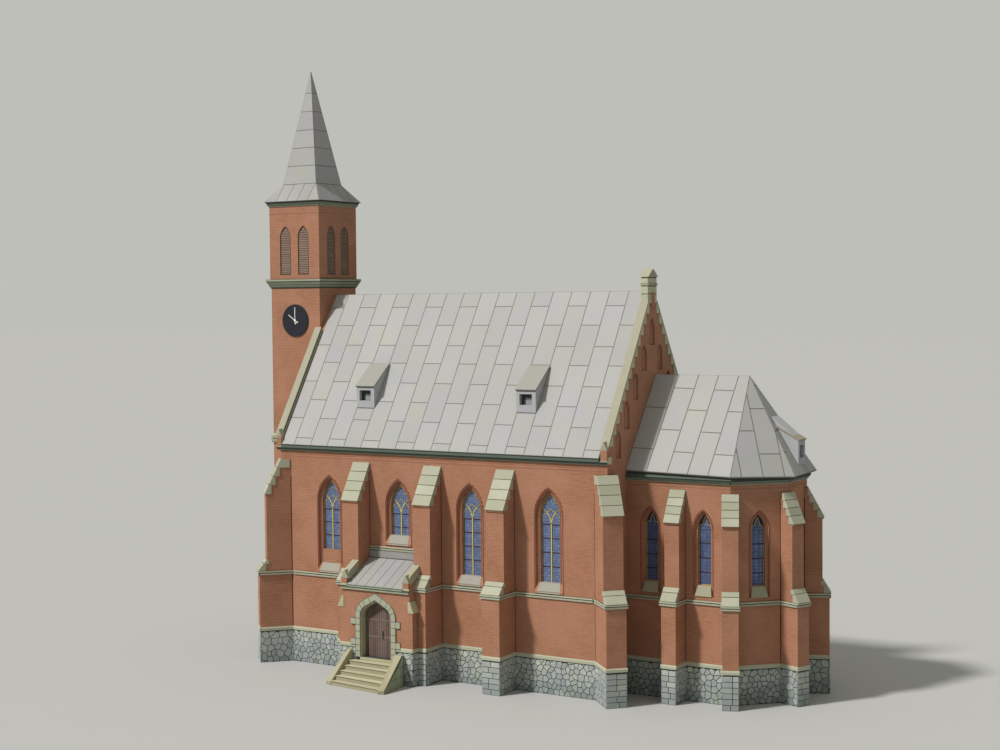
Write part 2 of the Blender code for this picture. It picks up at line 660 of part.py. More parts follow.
for loop in ((0, 1, 7, 6), (1, 2, 7), (2, 3, 7), (3, 4, 7), (4, 5, 6, 7)):
    surface.faces.new([vertices[i] for i in loop])
bmesh.ops.recalc_face_normals(surface, faces=surface.faces)
if surface.faces[:][1].normal.z < 0:
    bmesh.ops.reverse_faces(surface, faces=surface.faces[:])
mesh = bpy.data.meshes.new("choir_roof")
surface.to_mesh(mesh)
surface.free()
choir_roof = bpy.data.objects.new("choir_roof", mesh)
parts.objects.link(choir_roof)
finish(choir_roof, "choir_roof", SHEET)
shell = choir_roof.modifiers.new("card", "SOLIDIFY")
shell.thickness = 0.6 * MM
shell.offset = -1
shell.use_even_offset = True
trim = block("choir_roof_end", (NAVE_LENGTH - 5, -30, 60), (NAVE_LENGTH + GAP, 30, 100))
cut(choir_roof, trim)


# Dormers: small shed dormers with a square opening, seated on the roof slope.
def nave_dormer(name, left, right, side_sign):
    front = 23.9
    back = 15.0
    ridge_line = (0, NAVE_AXIS, 0)
    foot = roof_height(front) + 0.06
    rear = roof_height(back) + 0.06
    outline = [(front, foot), (front, 91.8), (back, rear + 0.4), (back, rear)]
    window = [(left + 1.1, 87.1), (right - 1.35, 87.1), (right - 1.35, 90.5), (left + 1.1, 90.5)]
    if side_sign < 0:
        outline = mirrored(outline)
    item = slab(name, [outline], "X", left, right, SHEET, ridge_line)
    near = side_sign * (front + 2)
    far = side_sign * (front - 1.6)
    opening = slab(name + "_opening", [window], "Y", min(near, far), max(near, far), None, ridge_line)
    return cut(item, opening)


nave_dormer("south_dormer_west", 26.8, 33.75, -1)
nave_dormer("south_dormer_east", 87.6, 94.5, -1)
nave_dormer("north_dormer_west", 26.8, 33.75, 1)
nave_dormer("north_dormer_east", 87.6, 94.5, 1)


def apse_height(x, y):
    """Height of the apse roof's east facet above a point."""
    south, north, top = Vector(APSE_EAVE_SOUTH), Vector(APSE_EAVE_NORTH), Vector(apex)
    normal = (north - south).cross(top - south)
    return south.z - (normal.x * (x - south.x) + normal.y * (y - south.y)) / normal.z


DORMER_MIDDLE = 1.15
DORMER_HALF = 2.75
DORMER_FRONT = 169.9
DORMER_BACK = 161.5
DORMER_TOP = 77.1
outline = []
for x, lift in ((DORMER_FRONT, 0.25), (DORMER_BACK, 0.25), (DORMER_BACK, 0.55)):
    outline.append((x, apse_height(x, DORMER_MIDDLE) + lift))
outline.append((DORMER_FRONT, DORMER_TOP))
edges = (DORMER_MIDDLE - DORMER_HALF, DORMER_MIDDLE + DORMER_HALF)
apse_dormer = slab("apse_dormer", [outline], "Y", *edges, SHEET)
hole_low = (DORMER_FRONT - 1.8, DORMER_MIDDLE - 1.6, 71.8)
hole_high = (DORMER_FRONT + 2, DORMER_MIDDLE + 1.6, 75.6)
cut(apse_dormer, block("apse_dormer_opening", hole_low, hole_high))

# Porch: front wall with a low pointed doorway and a small pier at each end, flush with it.
front = -PORCH_FRONT
porch = block("porch_walls", (PORCH_LEFT, front, 0), (PORCH_RIGHT, -PORCH_BACK, PORCH_WALL_TOP), BRICK)
LIP = 0.35
for name, side_x, sign in (("west", PORCH_LEFT, -1), ("east", PORCH_RIGHT, 1)):
    inside, outside = side_x - sign * 0.5, side_x + sign * PIER_OUT
    pier = [(inside, 0.02), (outside, 0.02), (outside, PIER_CAP_FOOT - LIP)]
    pier += [(outside + sign * LIP, PIER_CAP_FOOT - LIP), (outside + sign * LIP, PIER_CAP_FOOT)]
    pier += [(side_x, PIER_CAP_TOP), (inside, PIER_CAP_TOP)]
    fuse(porch, slab(f"porch_{name}_pier", [pier], "Y", front + 0.02, -PORCH_BACK - 0.02))

# Side parapets over the front wall, stepped clear of the buttresses behind, and the brick
# kneelers that stand out over the cornice.
parapet = [(-45.45, 25.0), (-43.0, 25.0), (-43.0, 30.4), (-41.5, 31.95), (-41.5, 33.0), (-45.45, 30.85)]
PARAPETS = {
    "west": (PORCH_LEFT + 0.03, PORCH_LEFT + PORCH_SIDE - 0.03),
    "east": (PORCH_RIGHT - PORCH_SIDE + 0.03, PORCH_RIGHT - 0.03),
}
for name, (low, high) in PARAPETS.items():
    fuse(porch, slab(f"porch_{name}_parapet", [parapet], "X", low, high))
    fuse(porch, block(f"porch_{name}_kneeler", (low + 0.05, -45.9, 29.85), (high - 0.05, -44.9, 32.15)))
doorway = low_arch(PORCH_MIDDLE, DOOR_SILL, DOOR_SPRING, 25.85, 5.75, 3.6)
cut(porch, slab("porch_doorway", [doorway], "Y", front - 3, front + 6))

# Stone ring round the doorway with two quoins a side, and the door card inside it.
ring_outer = low_arch(PORCH_MIDDLE, DOOR_SILL + 0.05, DOOR_SPRING, 28.1, 7.7, 5.8)
ring_inner = low_arch(PORCH_MIDDLE, 0, DOOR_SPRING, 25.95, 5.85, 3.7)
surround = slab("porch_door_surround", [ring_outer], "Y", front - 0.35, front - GAP, STONE)
cut(surround, slab("door_surround_hole", [ring_inner], "Y", front - 3, front + 3))
QUOIN_PLACES = ((38.6, 17.8), (38.6, 11.3), (55.4, 17.8), (55.4, 11.3))
for number, (x, low) in enumerate(QUOIN_PLACES, 1):
    fuse(surround, block(f"quoin_{number}", (x - 1.0, front - 0.35, low), (x + 1.0, front - GAP, low + 2.0)))
door_outline = low_arch(PORCH_MIDDLE, DOOR_SILL + GAP, DOOR_SPRING, 25.79, 5.7, 3.55)
slab("porch_door", [door_outline], "Y", front + DOOR_DEPTH, front + DOOR_DEPTH + 0.6, WOOD)

# Porch roof: sloping sheet with an upturned strip against the nave wall, and its cornice.
roof_west = PORCH_LEFT + PORCH_SIDE + GAP
roof_east = PORCH_RIGHT - PORCH_SIDE - GAP
roof_profile = [(-46.1, 30.2), (-46.1, 29.6), (-33.55, 36.4), (-32.95, 36.4)]
roof_profile += [(-32.95, 39.6), (-33.45, 39.6), (-33.45, 37.1)]
slab("porch_roof", [roof_profile], "X", roof_west, roof_east, SHEET)
cornice_profile = [(-45.55, 28.75), (-45.75, 28.75), (-46.1, 29.25), (-46.1, 29.5), (-45.55, 29.8)]
slab("porch_cornice", [cornice_profile], "X", PORCH_LEFT, PORCH_RIGHT, CORNICE)

# Porch copings, each with a gabled cap on its kneeler.
coping_profile = [(-39.55, 34.15), (-39.55, 37.0), (-44.85, 34.1), (-44.85, 31.27)]
PORCH_COPINGS = {
    "porch_coping_west": ((34.0, 36.4), (34.0, 36.9), 35.6),
    "porch_coping_east": ((57.5, 59.8), (57.3, 60.1), 58.9),
}
for name, (edges, cap_edges, cap_middle) in PORCH_COPINGS.items():
    coping = slab(name, [coping_profile], "X", *edges, STONE)
    cap_outline = [(cap_edges[0], 32.2), (cap_edges[1], 32.2), (cap_middle, 34.7)]
    fuse(coping, slab(name + "_cap", [cap_outline], "Y", -46.0, -44.0))

# Steps: five treads between two sloping cheek walls that spread and lean towards the ground.
STEP_FRONT = 56.9
STEP_BACK = 45.9
TREADS = 5
STEP_TOP = 6.45


def spread(item, wall, foot, lean):
    """Moves the two sides of a slab laid along X from their places at the wall to those at the foot."""
    middle = item.matrix_world.translation.x / MM
    for vertex in item.data.vertices:
        share = (-vertex.co.x / MM - STEP_BACK) / (STEP_FRONT - STEP_BACK)
        side = 0 if vertex.co.z < 0 else 1
        place_x = wall[side] + (foot[side] - wall[side]) * share
        vertex.co.z = (place_x - middle) * MM
        vertex.co.x += lean[side] * share * MM
    return item


tread = (STEP_FRONT - STEP_BACK) / TREADS
rise = STEP_TOP / TREADS
outline = [(-STEP_BACK, 0), (-STEP_BACK, STEP_TOP)]
for number in range(TREADS):
    y = -STEP_BACK - tread * (number + 1)
    outline.append((y, STEP_TOP - rise * number))
    outline.append((y, STEP_TOP - rise * (number + 1)))
steps = spread(
    slab("porch_steps", [outline], "X", 37.9, 55.4, STONE),
    (37.9, 55.4), (36.7, 57.2), (1.4, -1.3))
CHEEKS = {
    "west": ((36.9, 38.2), (34.7, 36.9), (2.0, 1.5)),
    "east": ((54.9, 57.6), (57.0, 58.7), (-1.6, -0.7)),
}
for name, (wall, foot, lean) in CHEEKS.items():
    outline = [(-STEP_BACK, 0), (-STEP_BACK, 9.7), (-STEP_BACK - 1.0, 9.7), (-57.2, 1.1), (-57.2, 0)]
    fuse(steps, spread(slab(f"steps_{name}_cheek", [outline], "X", *wall), wall, foot, lean))

# Everything hangs on one empty that brings the origin to the middle of the model's footprint.
bpy.context.view_layer.update()
depsgraph = bpy.context.evaluated_depsgraph_get()
xs = []
ys = []
for item in parts.objects:
    shape = item.evaluated_get(depsgraph)
    for corner in shape.bound_box:
        point = item.matrix_world @ Vector(corner)
        xs.append(point.x)
        ys.append(point.y)
root = bpy.data.objects.new("church_origin", None)
parts.objects.link(root)
for item in list(parts.objects) + list(cutters.objects):
    if item is not root:
        item.parent = root
root.location = (-(min(xs) + max(xs)) / 2, -(min(ys) + max(ys)) / 2, 0)
bpy.context.view_layer.update()
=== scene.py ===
import json
import math
import random

import bmesh
import bpy
from mathutils import Matrix, Vector


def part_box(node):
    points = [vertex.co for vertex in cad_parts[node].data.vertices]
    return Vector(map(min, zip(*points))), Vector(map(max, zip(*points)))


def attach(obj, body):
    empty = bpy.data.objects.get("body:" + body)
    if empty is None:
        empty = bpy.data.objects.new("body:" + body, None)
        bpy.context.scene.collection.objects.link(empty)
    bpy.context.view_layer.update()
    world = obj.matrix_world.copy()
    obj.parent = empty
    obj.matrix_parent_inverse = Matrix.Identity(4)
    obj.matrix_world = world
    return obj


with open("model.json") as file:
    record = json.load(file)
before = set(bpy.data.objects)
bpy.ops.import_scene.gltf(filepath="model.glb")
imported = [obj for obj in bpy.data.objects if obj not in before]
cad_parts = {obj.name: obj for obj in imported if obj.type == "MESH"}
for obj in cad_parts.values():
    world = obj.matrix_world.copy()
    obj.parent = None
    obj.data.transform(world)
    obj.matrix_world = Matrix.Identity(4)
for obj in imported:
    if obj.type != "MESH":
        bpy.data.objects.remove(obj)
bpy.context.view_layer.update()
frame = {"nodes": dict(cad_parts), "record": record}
random.seed(7)

# Studio: the card church stands on a pale floor and is seen from the south-east, a little
# above its base, under a soft lamp and a glow that is stronger overhead. Places are given in
# millimetres from the nave's west face, from the middle line of the tower and the choir, and
# from the ground; the frame says where those are.
MM = 0.001
WEST_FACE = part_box("nave_south_wall")[0].x
MIDDLE_LINE = (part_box("tower_shaft")[0].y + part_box("tower_shaft")[1].y) / 2
CAMERA_PLACE = (346.9, -463.2, 118.4)
CAMERA_HEADING = 31.25
CAMERA_TILT = 2.48
CAMERA_ROLL = -0.52
FOCAL_LENGTH_IN_WIDTHS = 1.648


def spot(x, y, z):
    """A point of the church, in millimetres from the west face, the middle line and the ground."""
    return Vector((WEST_FACE + x * MM, MIDDLE_LINE + y * MM, z * MM))


def turned(degrees, axis):
    """Rotation about one axis."""
    return Matrix.Rotation(math.radians(degrees), 4, axis)


camera_data = bpy.data.cameras.new("studio_camera")
camera_data.lens = FOCAL_LENGTH_IN_WIDTHS * camera_data.sensor_width
camera = bpy.data.objects.new("studio_camera", camera_data)
bpy.context.scene.collection.objects.link(camera)
camera.matrix_world = (
    Matrix.Translation(spot(*CAMERA_PLACE))
    @ turned(CAMERA_HEADING, "Z")
    @ turned(90 - CAMERA_TILT, "X")
    @ turned(CAMERA_ROLL, "Z")
)
bpy.context.scene.camera = camera
bpy.context.scene.view_settings.view_transform = "Standard"


def linear(colour):
    """Linear colour from an sRGB hex value."""
    channels = [int(colour[i:i + 2], 16) / 255 for i in (1, 3, 5)]
    return (*[c / 12.92 if c <= 0.04045 else ((c + 0.055) / 1.055) ** 2.4 for c in channels], 1)


sun = bpy.data.lights.new("key_lamp", "SUN")
sun.energy = 3.4
sun.angle = math.radians(6)
sun.color = linear("#FFFAF4")[:3]
key_lamp = bpy.data.objects.new("key_lamp", sun)
bpy.context.scene.collection.objects.link(key_lamp)
key_lamp.rotation_euler = Vector((0.6, 0.87, -1.2)).to_track_quat("-Z", "Y").to_euler()


def node(tree, kind, inputs=None, **settings):
    """Adds a shader node with its settings, values and links; a hex value is a colour."""
    made = tree.nodes.new(kind)
    for name, value in settings.items():
        setattr(made, name, value)
    for socket, value in (inputs or {}).items():
        if isinstance(value, bpy.types.NodeSocket):
            tree.links.new(value, made.inputs[socket])
        else:
            made.inputs[socket].default_value = linear(value) if isinstance(value, str) else value
    return made


HORIZON_GLOW = 0.14
OVERHEAD_GLOW = 0.8
studio = bpy.data.worlds.new("studio")
studio.use_nodes = True
tree = studio.node_tree
glow = tree.nodes["Background"]
glow.inputs["Color"].default_value = linear("#F0EEE0")
height = node(tree, "ShaderNodeSeparateXYZ", {0: node(tree, "ShaderNodeTexCoord").outputs["Generated"]})
overhead = node(tree, "ShaderNodeMath", {0: height.outputs["Z"], 1: 2.0}, operation="POWER")
strengths = {0: overhead.outputs[0], 1: OVERHEAD_GLOW, 2: HORIZON_GLOW}
brightness = node(tree, "ShaderNodeMath", strengths, operation="MULTIPLY_ADD")
tree.links.new(brightness.outputs[0], glow.inputs["Strength"])
wall_paper = node(tree, "ShaderNodeBackground", {"Color": "#BFBFB9", "Strength": 1.0})
seen = node(tree, "ShaderNodeLightPath").outputs["Is Camera Ray"]
blend = node(tree, "ShaderNodeMixShader", {0: seen, 1: glow.outputs[0], 2: wall_paper.outputs[0]})
tree.links.new(blend.outputs[0], tree.nodes["World Output"].inputs["Surface"])
bpy.context.scene.world = studio

floor_paint = bpy.data.materials.new("matt_studio_paper")
floor_paint.use_nodes = True
floor_shader = floor_paint.node_tree.nodes["Principled BSDF"]
floor_shader.inputs["Base Color"].default_value = linear("#ABADAF")
floor_shader.inputs["Roughness"].default_value = 0.9
bpy.ops.mesh.primitive_plane_add(size=12, location=(0, 0, 0))
floor = bpy.context.active_object
floor.name = "studio_floor"
floor.data.materials.append(floor_paint)


# Brick card: every wall, buttress and tower stage is grey board covered with a sheet that is
# printed with brickwork. The courses are 0.5 mm high and faint, over soft orange, pink and
# greenish blotches, and the strip behind the plinth stones is printed dark for their joints.
def card(name, roughness=0.8):
    """Matt printed card: a new material with its node tree and shader."""
    made = bpy.data.materials.new(name)
    made.use_nodes = True
    shader = made.node_tree.nodes["Principled BSDF"]
    shader.inputs["Roughness"].default_value = roughness
    shader.inputs["Specular IOR Level"].default_value = 0.25
    return made, made.node_tree, shader


def overprinted(tree, under, ink, pattern, strength=1.0):
    """Colour of a print after a second ink, which is as dense as a pattern from 0 to 1 says."""
    density = node(tree, "ShaderNodeMath", {0: pattern, 1: strength}, operation="MULTIPLY")
    inks = {0: density.outputs[0], 6: under, 7: ink}
    return node(tree, "ShaderNodeMix", inks, data_type="RGBA").outputs[2]


def spots(tree, size, detail=2.0):
    """Cloudy noise with patches of about the size given in millimetres."""
    place = node(tree, "ShaderNodeTexCoord").outputs["Object"]
    noise = node(tree, "ShaderNodeTexNoise", {"Vector": place, "Scale": 1 / (size * MM), "Detail": detail})
    spread = {0: noise.outputs["Fac"], 1: 0.35, 2: 0.65}
    return node(tree, "ShaderNodeMapRange", spread, clamp=True).outputs[0]


def printed(tree, shader, colour, height, depth):
    """Puts the finished print on its card, pressed in by a pattern to a depth in millimetres."""
    relief = node(tree, "ShaderNodeBump", {"Height": height, "Distance": depth * MM, "Strength": 0.6})
    tree.links.new(colour, shader.inputs["Base Color"])
    tree.links.new(relief.outputs["Normal"], shader.inputs["Normal"])


COURSE_HEIGHT = 0.52
JOINT_STRIP_TOP = 11.4
brick_card, tree, shader = card("printed_brickwork_card")
place = node(tree, "ShaderNodeSeparateXYZ", {0: node(tree, "ShaderNodeTexCoord").outputs["Object"]})
normal = node(tree, "ShaderNodeNewGeometry").outputs["True Normal"]
facing = node(tree, "ShaderNodeSeparateXYZ", {0: normal})
# The distance along a wall follows from the way it faces, so the courses run round every corner.
x_by_facing = {0: place.outputs["X"], 1: facing.outputs["Y"]}
y_by_facing = {0: place.outputs["Y"], 1: facing.outputs["X"]}
from_x = node(tree, "ShaderNodeMath", x_by_facing, operation="MULTIPLY").outputs[0]
from_y = node(tree, "ShaderNodeMath", y_by_facing, operation="MULTIPLY").outputs[0]
along = node(tree, "ShaderNodeMath", {0: from_y, 1: from_x}, operation="SUBTRACT").outputs[0]
on_face = node(tree, "ShaderNodeCombineXYZ", {"X": along, "Y": place.outputs["Z"]})
courses = node(tree, "ShaderNodeTexBrick", {
    "Vector": on_face.outputs[0], "Scale": 1 / MM, "Brick Width": 1.5, "Row Height": COURSE_HEIGHT,
    "Mortar Size": 0.07, "Mortar Smooth": 0.6,
    "Color1": "#B08066", "Color2": "#A47559", "Mortar": "#855A45"})
warm = overprinted(tree, courses.outputs["Color"], "#B98870", spots(tree, 9.0))
dull = overprinted(tree, warm, "#9B7764", spots(tree, 17.0, 4.0), 0.35)
faint = overprinted(tree, dull, courses.outputs["Color"], 0.5)
strip = {0: place.outputs["Z"], 1: JOINT_STRIP_TOP * MM}
behind_plinth = node(tree, "ShaderNodeMath", strip, operation="LESS_THAN").outputs[0]
brick_colour = overprinted(tree, faint, "#3C4743", behind_plinth)
printed(tree, shader, brick_colour, courses.outputs["Fac"], -0.03)


def dress(surface, slot, *names):
    """Gives a printed card to the frame's solids of a slot, or to those that are named."""
    for part in frame["record"]["subparts"]:
        if part["material_slot"] == slot and (not names or part["node"] in names):
            for holder in frame["nodes"][part["node"]].material_slots:
                holder.material = surface


dress(brick_card, "brick_card")


# Plinth: the foot of every wall and buttress is printed with rounded field stones between dark
# joints, and the buttress ends with squared blocks. Each stone is a thin raised plate that is
# cut back along the lines between it and its neighbours.
PAPER_GRAIN = 0.35


def toned_card(name, low_colour, high_colour, cloud, size):
    """Printed card whose pieces differ in tone, with cloudy patches and a fine paper grain."""
    made, tree, shader = card(name)
    tone = node(tree, "ShaderNodeAttribute", attribute_name="tone").outputs["Fac"]
    colour = overprinted(tree, low_colour, high_colour, tone)
    colour = overprinted(tree, colour, cloud, spots(tree, size, 3.0), 0.45)
    grain = spots(tree, PAPER_GRAIN, 3.0)
    colour = overprinted(tree, colour, "#2A2A28", grain, 0.06)
    printed(tree, shader, colour, grain, 0.005)
    return made


def laid(origin, along, up):
    """Place of a flat drawing: u runs along, v up and w out of the surface, in millimetres."""
    along = Vector(along).normalized()
    up = (Vector(up) - along * along.dot(Vector(up))).normalized()
    axes = Matrix((along, up, along.cross(up))).transposed().to_4x4()
    return Matrix.Translation(spot(*origin)) @ axes @ Matrix.Scale(MM, 4)


def on_wall(x, y, bearing):
    """Place of a drawing on an upright face; the bearing turns from due south to the east."""
    angle = math.radians(bearing)
    return laid((x, y, 0), (math.cos(angle), math.sin(angle), 0), (0, 0, 1))


def moved(place, u, v, w):
    """The same place, shifted by a distance to the right, up and outwards."""
    return place @ Matrix.Translation((u, v, w))


def drawing():
    """Empty mesh for the raised plates of one piece; each plate gets a tone of about 0 to 1."""
    solid = bmesh.new()
    solid.faces.layers.float.new("tone")
    return solid


workbench = bpy.data.meshes.new("workbench")


def plate(solid, place, outline, back, front, tone=0.5, chamfer=0.0):
    """Raised plate: a flat outline pulled from a little behind a surface to its front, whose edges
    may be softened."""
    turn = sum(a[0] * b[1] - b[0] * a[1] for a, b in zip(outline, [*outline[1:], outline[0]]))
    corners = outline if turn > 0 else outline[::-1]
    single = drawing()
    base = single.faces.new([single.verts.new((u, v, back)) for u, v in corners])
    pulled = bmesh.ops.extrude_face_region(single, geom=[base])["geom"]
    top = next(part for part in pulled if isinstance(part, bmesh.types.BMFace))
    bmesh.ops.translate(single, verts=top.verts, vec=(0, 0, front - back))
    if chamfer:
        top.normal_update()
        bmesh.ops.inset_individual(single, faces=[top], thickness=chamfer, depth=chamfer / 2)
    layer = single.faces.layers.float["tone"]
    for face in single.faces:
        face[layer] = tone
    bmesh.ops.transform(single, matrix=place, verts=single.verts)
    single.to_mesh(workbench)
    single.free()
    solid.from_mesh(workbench)


def piece(name, solid, surface):
    """Finishes a drawing as one piece of the church."""
    bmesh.ops.recalc_face_normals(solid, faces=solid.faces)
    mesh = bpy.data.meshes.new(name)
    solid.to_mesh(mesh)
    solid.free()
    mesh.materials.append(surface)
    item = bpy.data.objects.new(name, mesh)
    bpy.context.scene.collection.objects.link(item)
    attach(item, "root")


def box(left, low, right, high):
    """Outline of a rectangle."""
    return [(left, low), (right, low), (right, high), (left, high)]


SMALLEST_AREA = 0.12


def trimmed(outline, cuts, soft=0.0):
    """Cuts a flat outline back along lines, each given by a point and its outward direction."""
    flat = bmesh.new()
    flat.faces.new([flat.verts.new((u, v, 0)) for u, v in outline])
    for point, direction in cuts:
        shape = flat.verts[:] + flat.edges[:] + flat.faces[:]
        bmesh.ops.bisect_plane(
            flat, geom=shape, plane_co=(*point, 0), plane_no=(*direction, 0), clear_outer=True)
    if soft and flat.faces:
        bmesh.ops.bevel(
            flat, geom=flat.verts[:], offset=soft, affect="VERTICES", segments=1, profile=0.5,
            material=-1, clamp_overlap=True)
    flat.faces.ensure_lookup_table()
    big_enough = flat.faces and flat.faces[0].calc_area() > SMALLEST_AREA
    kept = [(vert.co.x, vert.co.y) for vert in flat.faces[0].verts] if big_enough else []
    flat.free()
    return kept


HALF_JOINT = 0.1


def rubble(solid, place, length, height, pitch):
    """Fills the foot of a wall with rounded stones in bent rows."""
    columns = max(1, round(length / pitch))
    rows = max(2, round(height / pitch))
    centres = {}
    for column in range(-2, columns + 2):
        for row in range(-1, rows + 1):
            u = column + 0.5 + 0.5 * (row % 2) + random.uniform(-0.4, 0.4)
            v = row + 0.5 + random.uniform(-0.35, 0.35)
            centres[column, row] = Vector((u * length / columns, v * height / rows))
    for (column, row), centre in centres.items():
        cuts = []
        for side in range(column - 2, column + 3):
            for level in range(row - 2, row + 3):
                other = centres.get((side, level))
                if other is not None and other is not centre:
                    away = (other - centre).normalized()
                    cuts.append(((centre + other) / 2 - away * HALF_JOINT, away))
        outline = trimmed(box(0.05, 0.1, length - 0.05, height), cuts, 0.1)
        if outline:
            tone = 0.25 + 0.5 * max(0, centre.y) / height + random.uniform(-0.2, 0.2)
            plate(solid, place, outline, -0.03, 0.08, tone, 0.05)


def ashlar(solid, place, length, height, course):
    """Fills a buttress end with squared blocks in courses."""
    rows = round(height / course)
    for row in range(rows):
        low = 0.1 + row * (height - 0.1) / rows
        high = low + (height - 0.1) / rows - 0.2
        split = length * random.choice((0.36, 0.5, 0.62))
        for left, right in ((0.05, split - HALF_JOINT), (split + HALF_JOINT, length - 0.05)):
            tone = 0.35 + 0.4 * row / rows + random.uniform(-0.15, 0.15)
            plate(solid, place, box(left, low, right, high), -0.03, 0.08, tone, 0.05)


PLINTH_TOP = 10.25
SOUTH_FACE, NORTH_FACE, EAST_FACE = -32.9, 28.1, 122.5
# Walls in order round each block: the place of the left end, seen from outside, and the length.
NAVE_WALLS = [
    (on_wall(0, SOUTH_FACE, 0), 34.0), (on_wall(59.9, SOUTH_FACE, 0), 62.6),
    (on_wall(EAST_FACE, SOUTH_FACE, 90), 12.8), (on_wall(EAST_FACE, 20.1, 90), 8.0),
    (on_wall(EAST_FACE, NORTH_FACE, 180), EAST_FACE), (on_wall(0, NORTH_FACE, -90), 17.6),
    (on_wall(0, -10.5, -90), 22.4)]
TOWER_WALLS = [
    (on_wall(-21.03, -10.48, 0), 20.9), (on_wall(-21.03, 10.48, -90), 20.96),
    (on_wall(-0.1, 10.48, 180), 20.9)]
PORCH_WALLS = [
    (on_wall(32.95, -42.65, -90), 2.85), (on_wall(32.95, -45.5, 0), 6.35),
    (on_wall(54.8, -45.5, 0), 6.15), (on_wall(60.95, -45.5, 90), 2.85)]
CHOIR_WALLS = []
CHOIR_TURNS = (
    (EAST_FACE, -20.05), (156.05, -20.05), (168.85, -7.25), (168.85, 8.2), (156.05, 20.05),
    (EAST_FACE, 20.05))
for start, end in zip(CHOIR_TURNS, CHOIR_TURNS[1:]):
    step = Vector(end) - Vector(start)
    CHOIR_WALLS.append((on_wall(*start, math.degrees(math.atan2(step.y, step.x))), step.length))
WALLS = [*NAVE_WALLS, *TOWER_WALLS, *PORCH_WALLS, *CHOIR_WALLS]

# Each buttress: the wall point it stands at, its bearing, its width, how far its flanks run back
# past that point, the depth of its upper and lower stage, and the heights of its long cap's foot
# and top and of its short cap's top.
BUTTRESSES = []
for x in (33.2, 60.7, 87.45):
    BUTTRESSES.append((x, SOUTH_FACE, 0, 6.2, 0, 6.6, 9.6, 55.8, 67.5, 33.9))
    BUTTRESSES.append((x, NORTH_FACE, 180, 6.2, 0, 6.6, 9.6, 55.8, 67.5, 33.9))
NAVE_CORNERS = (
    (0, SOUTH_FACE, -45), (EAST_FACE, SOUTH_FACE, 45), (EAST_FACE, NORTH_FACE, 135), (0, NORTH_FACE, 225))
for x, y, bearing in NAVE_CORNERS:
    BUTTRESSES.append((x, y, bearing, 6.2, 3.1, 5.3, 7.9, 56.0, 67.4, 34.0))
for y, bearing in ((-20.05, 0), (20.05, 180)):
    BUTTRESSES.append((139.3, y, bearing, 4.7, 0, 4.5, 7.0, 53.4, 62.7, 34.2))
for (x, y), bearing in zip(CHOIR_TURNS[1:5], (22.5, 67.5, 112.5, 157.5)):
    longer = 0.6 if bearing == 112.5 else 0.0
    BUTTRESSES.append((x, y, bearing, 4.7, 0.97, 3.9 + longer, 6.0 + longer, 53.3, 62.2, 34.2))


def buttress_sides(buttress, depth):
    """Places of a buttress's end from its left edge, of its right flank from the end and of its
    left flank from the wall point."""
    x, y, bearing, width = buttress[:4]
    middle_line = on_wall(x, y, bearing)
    end = moved(middle_line, -width / 2, 0, depth)
    right = moved(middle_line, width / 2, 0, depth) @ turned(90, "Y")
    left = moved(middle_line, -width / 2, 0, 0) @ turned(-90, "Y")
    return end, right, left


# Grey-green to pale stones with a bluish cloud.
plinth_card = toned_card("printed_field_stone_card", "#75817E", "#C6CEC3", "#8C95A6", 4.0)
plinth_stones = drawing()
for wall, length in WALLS:
    rubble(plinth_stones, wall, length, PLINTH_TOP, 1.85)
for buttress in BUTTRESSES:
    width, back, _, lower = buttress[3:7]
    end, right, left = buttress_sides(buttress, lower)
    ashlar(plinth_stones, end, width, PLINTH_TOP, 1.8)
    rubble(plinth_stones, right, lower + back, PLINTH_TOP, 2.1)
    rubble(plinth_stones, moved(left, -back, 0, 0), lower + back, PLINTH_TOP, 2.1)
piece("plinth_stones", plinth_stones, plinth_card)

# Plinth band: a pale stone course with a bevelled top edge, printed in a warm grey-cream and
# glued over the field stones, so the dark joint colour under it stays as a thin line.
pale_stone = toned_card("printed_pale_stone_card", "#A6A997", "#BDBFAA", "#AFB39C", 6.0)
band = drawing()


def level_run(solid, place, profile, left, right, tone=0.5):
    """Moulding: a closed (outward, height) profile pulled along a wall from left to right."""
    plate(solid, place @ turned(-90, "Y"), profile, -right, -left, tone)


def wall_band(out):
    """Profile of the band that stands out from the wall by a distance."""
    return [(-0.05, 10.55), (out, 10.55), (out, 11.35), (0.05, 11.75), (-0.05, 11.75)]


for wall, length in WALLS:
    level_run(band, wall, wall_band(0.22), 0, length, random.uniform(0.3, 0.8))
for buttress in BUTTRESSES:
    width, back, _, lower = buttress[3:7]
    end, right, left = buttress_sides(buttress, lower)
    level_run(band, end, wall_band(0.25), -0.25, width + 0.25, 0.7)
    level_run(band, right, wall_band(0.25), -0.05, lower + back, 0.3)
    level_run(band, left, wall_band(0.25), -back, lower + 0.05, 0.5)
piece("plinth_band", band, pale_stone)

# String course: a pale moulding with a painted shadow line in dark grey-green ink under its top
# edge runs round the walls and buttresses at sill height, and steps up in the bay over the porch.
# The same ink draws the joints in all pale stone.
shadow_line = toned_card("printed_shadow_line_card", "#3C453F", "#58625A", "#4A5249", 6.0)
pale_edges = drawing()
string_shadow_lines = drawing()
SOUTH_WALL = on_wall(0, SOUTH_FACE, 0)
NORTH_WALL = on_wall(EAST_FACE, NORTH_FACE, 180)


def string_course(place, left, right, low, out):
    """Pale edge, painted shadow line and a middle-toned roll, one above the other."""
    level_run(string_shadow_lines, place, box(-0.02, low, out, low + 1.15), left, right)
    level_run(pale_edges, place, box(0.0, low + 0.78, out + 0.14, low + 1.2), left, right, 0.9)
    level_run(pale_edges, place, box(0.0, low, out + 0.1, low + 0.5), left, right, 0.1)


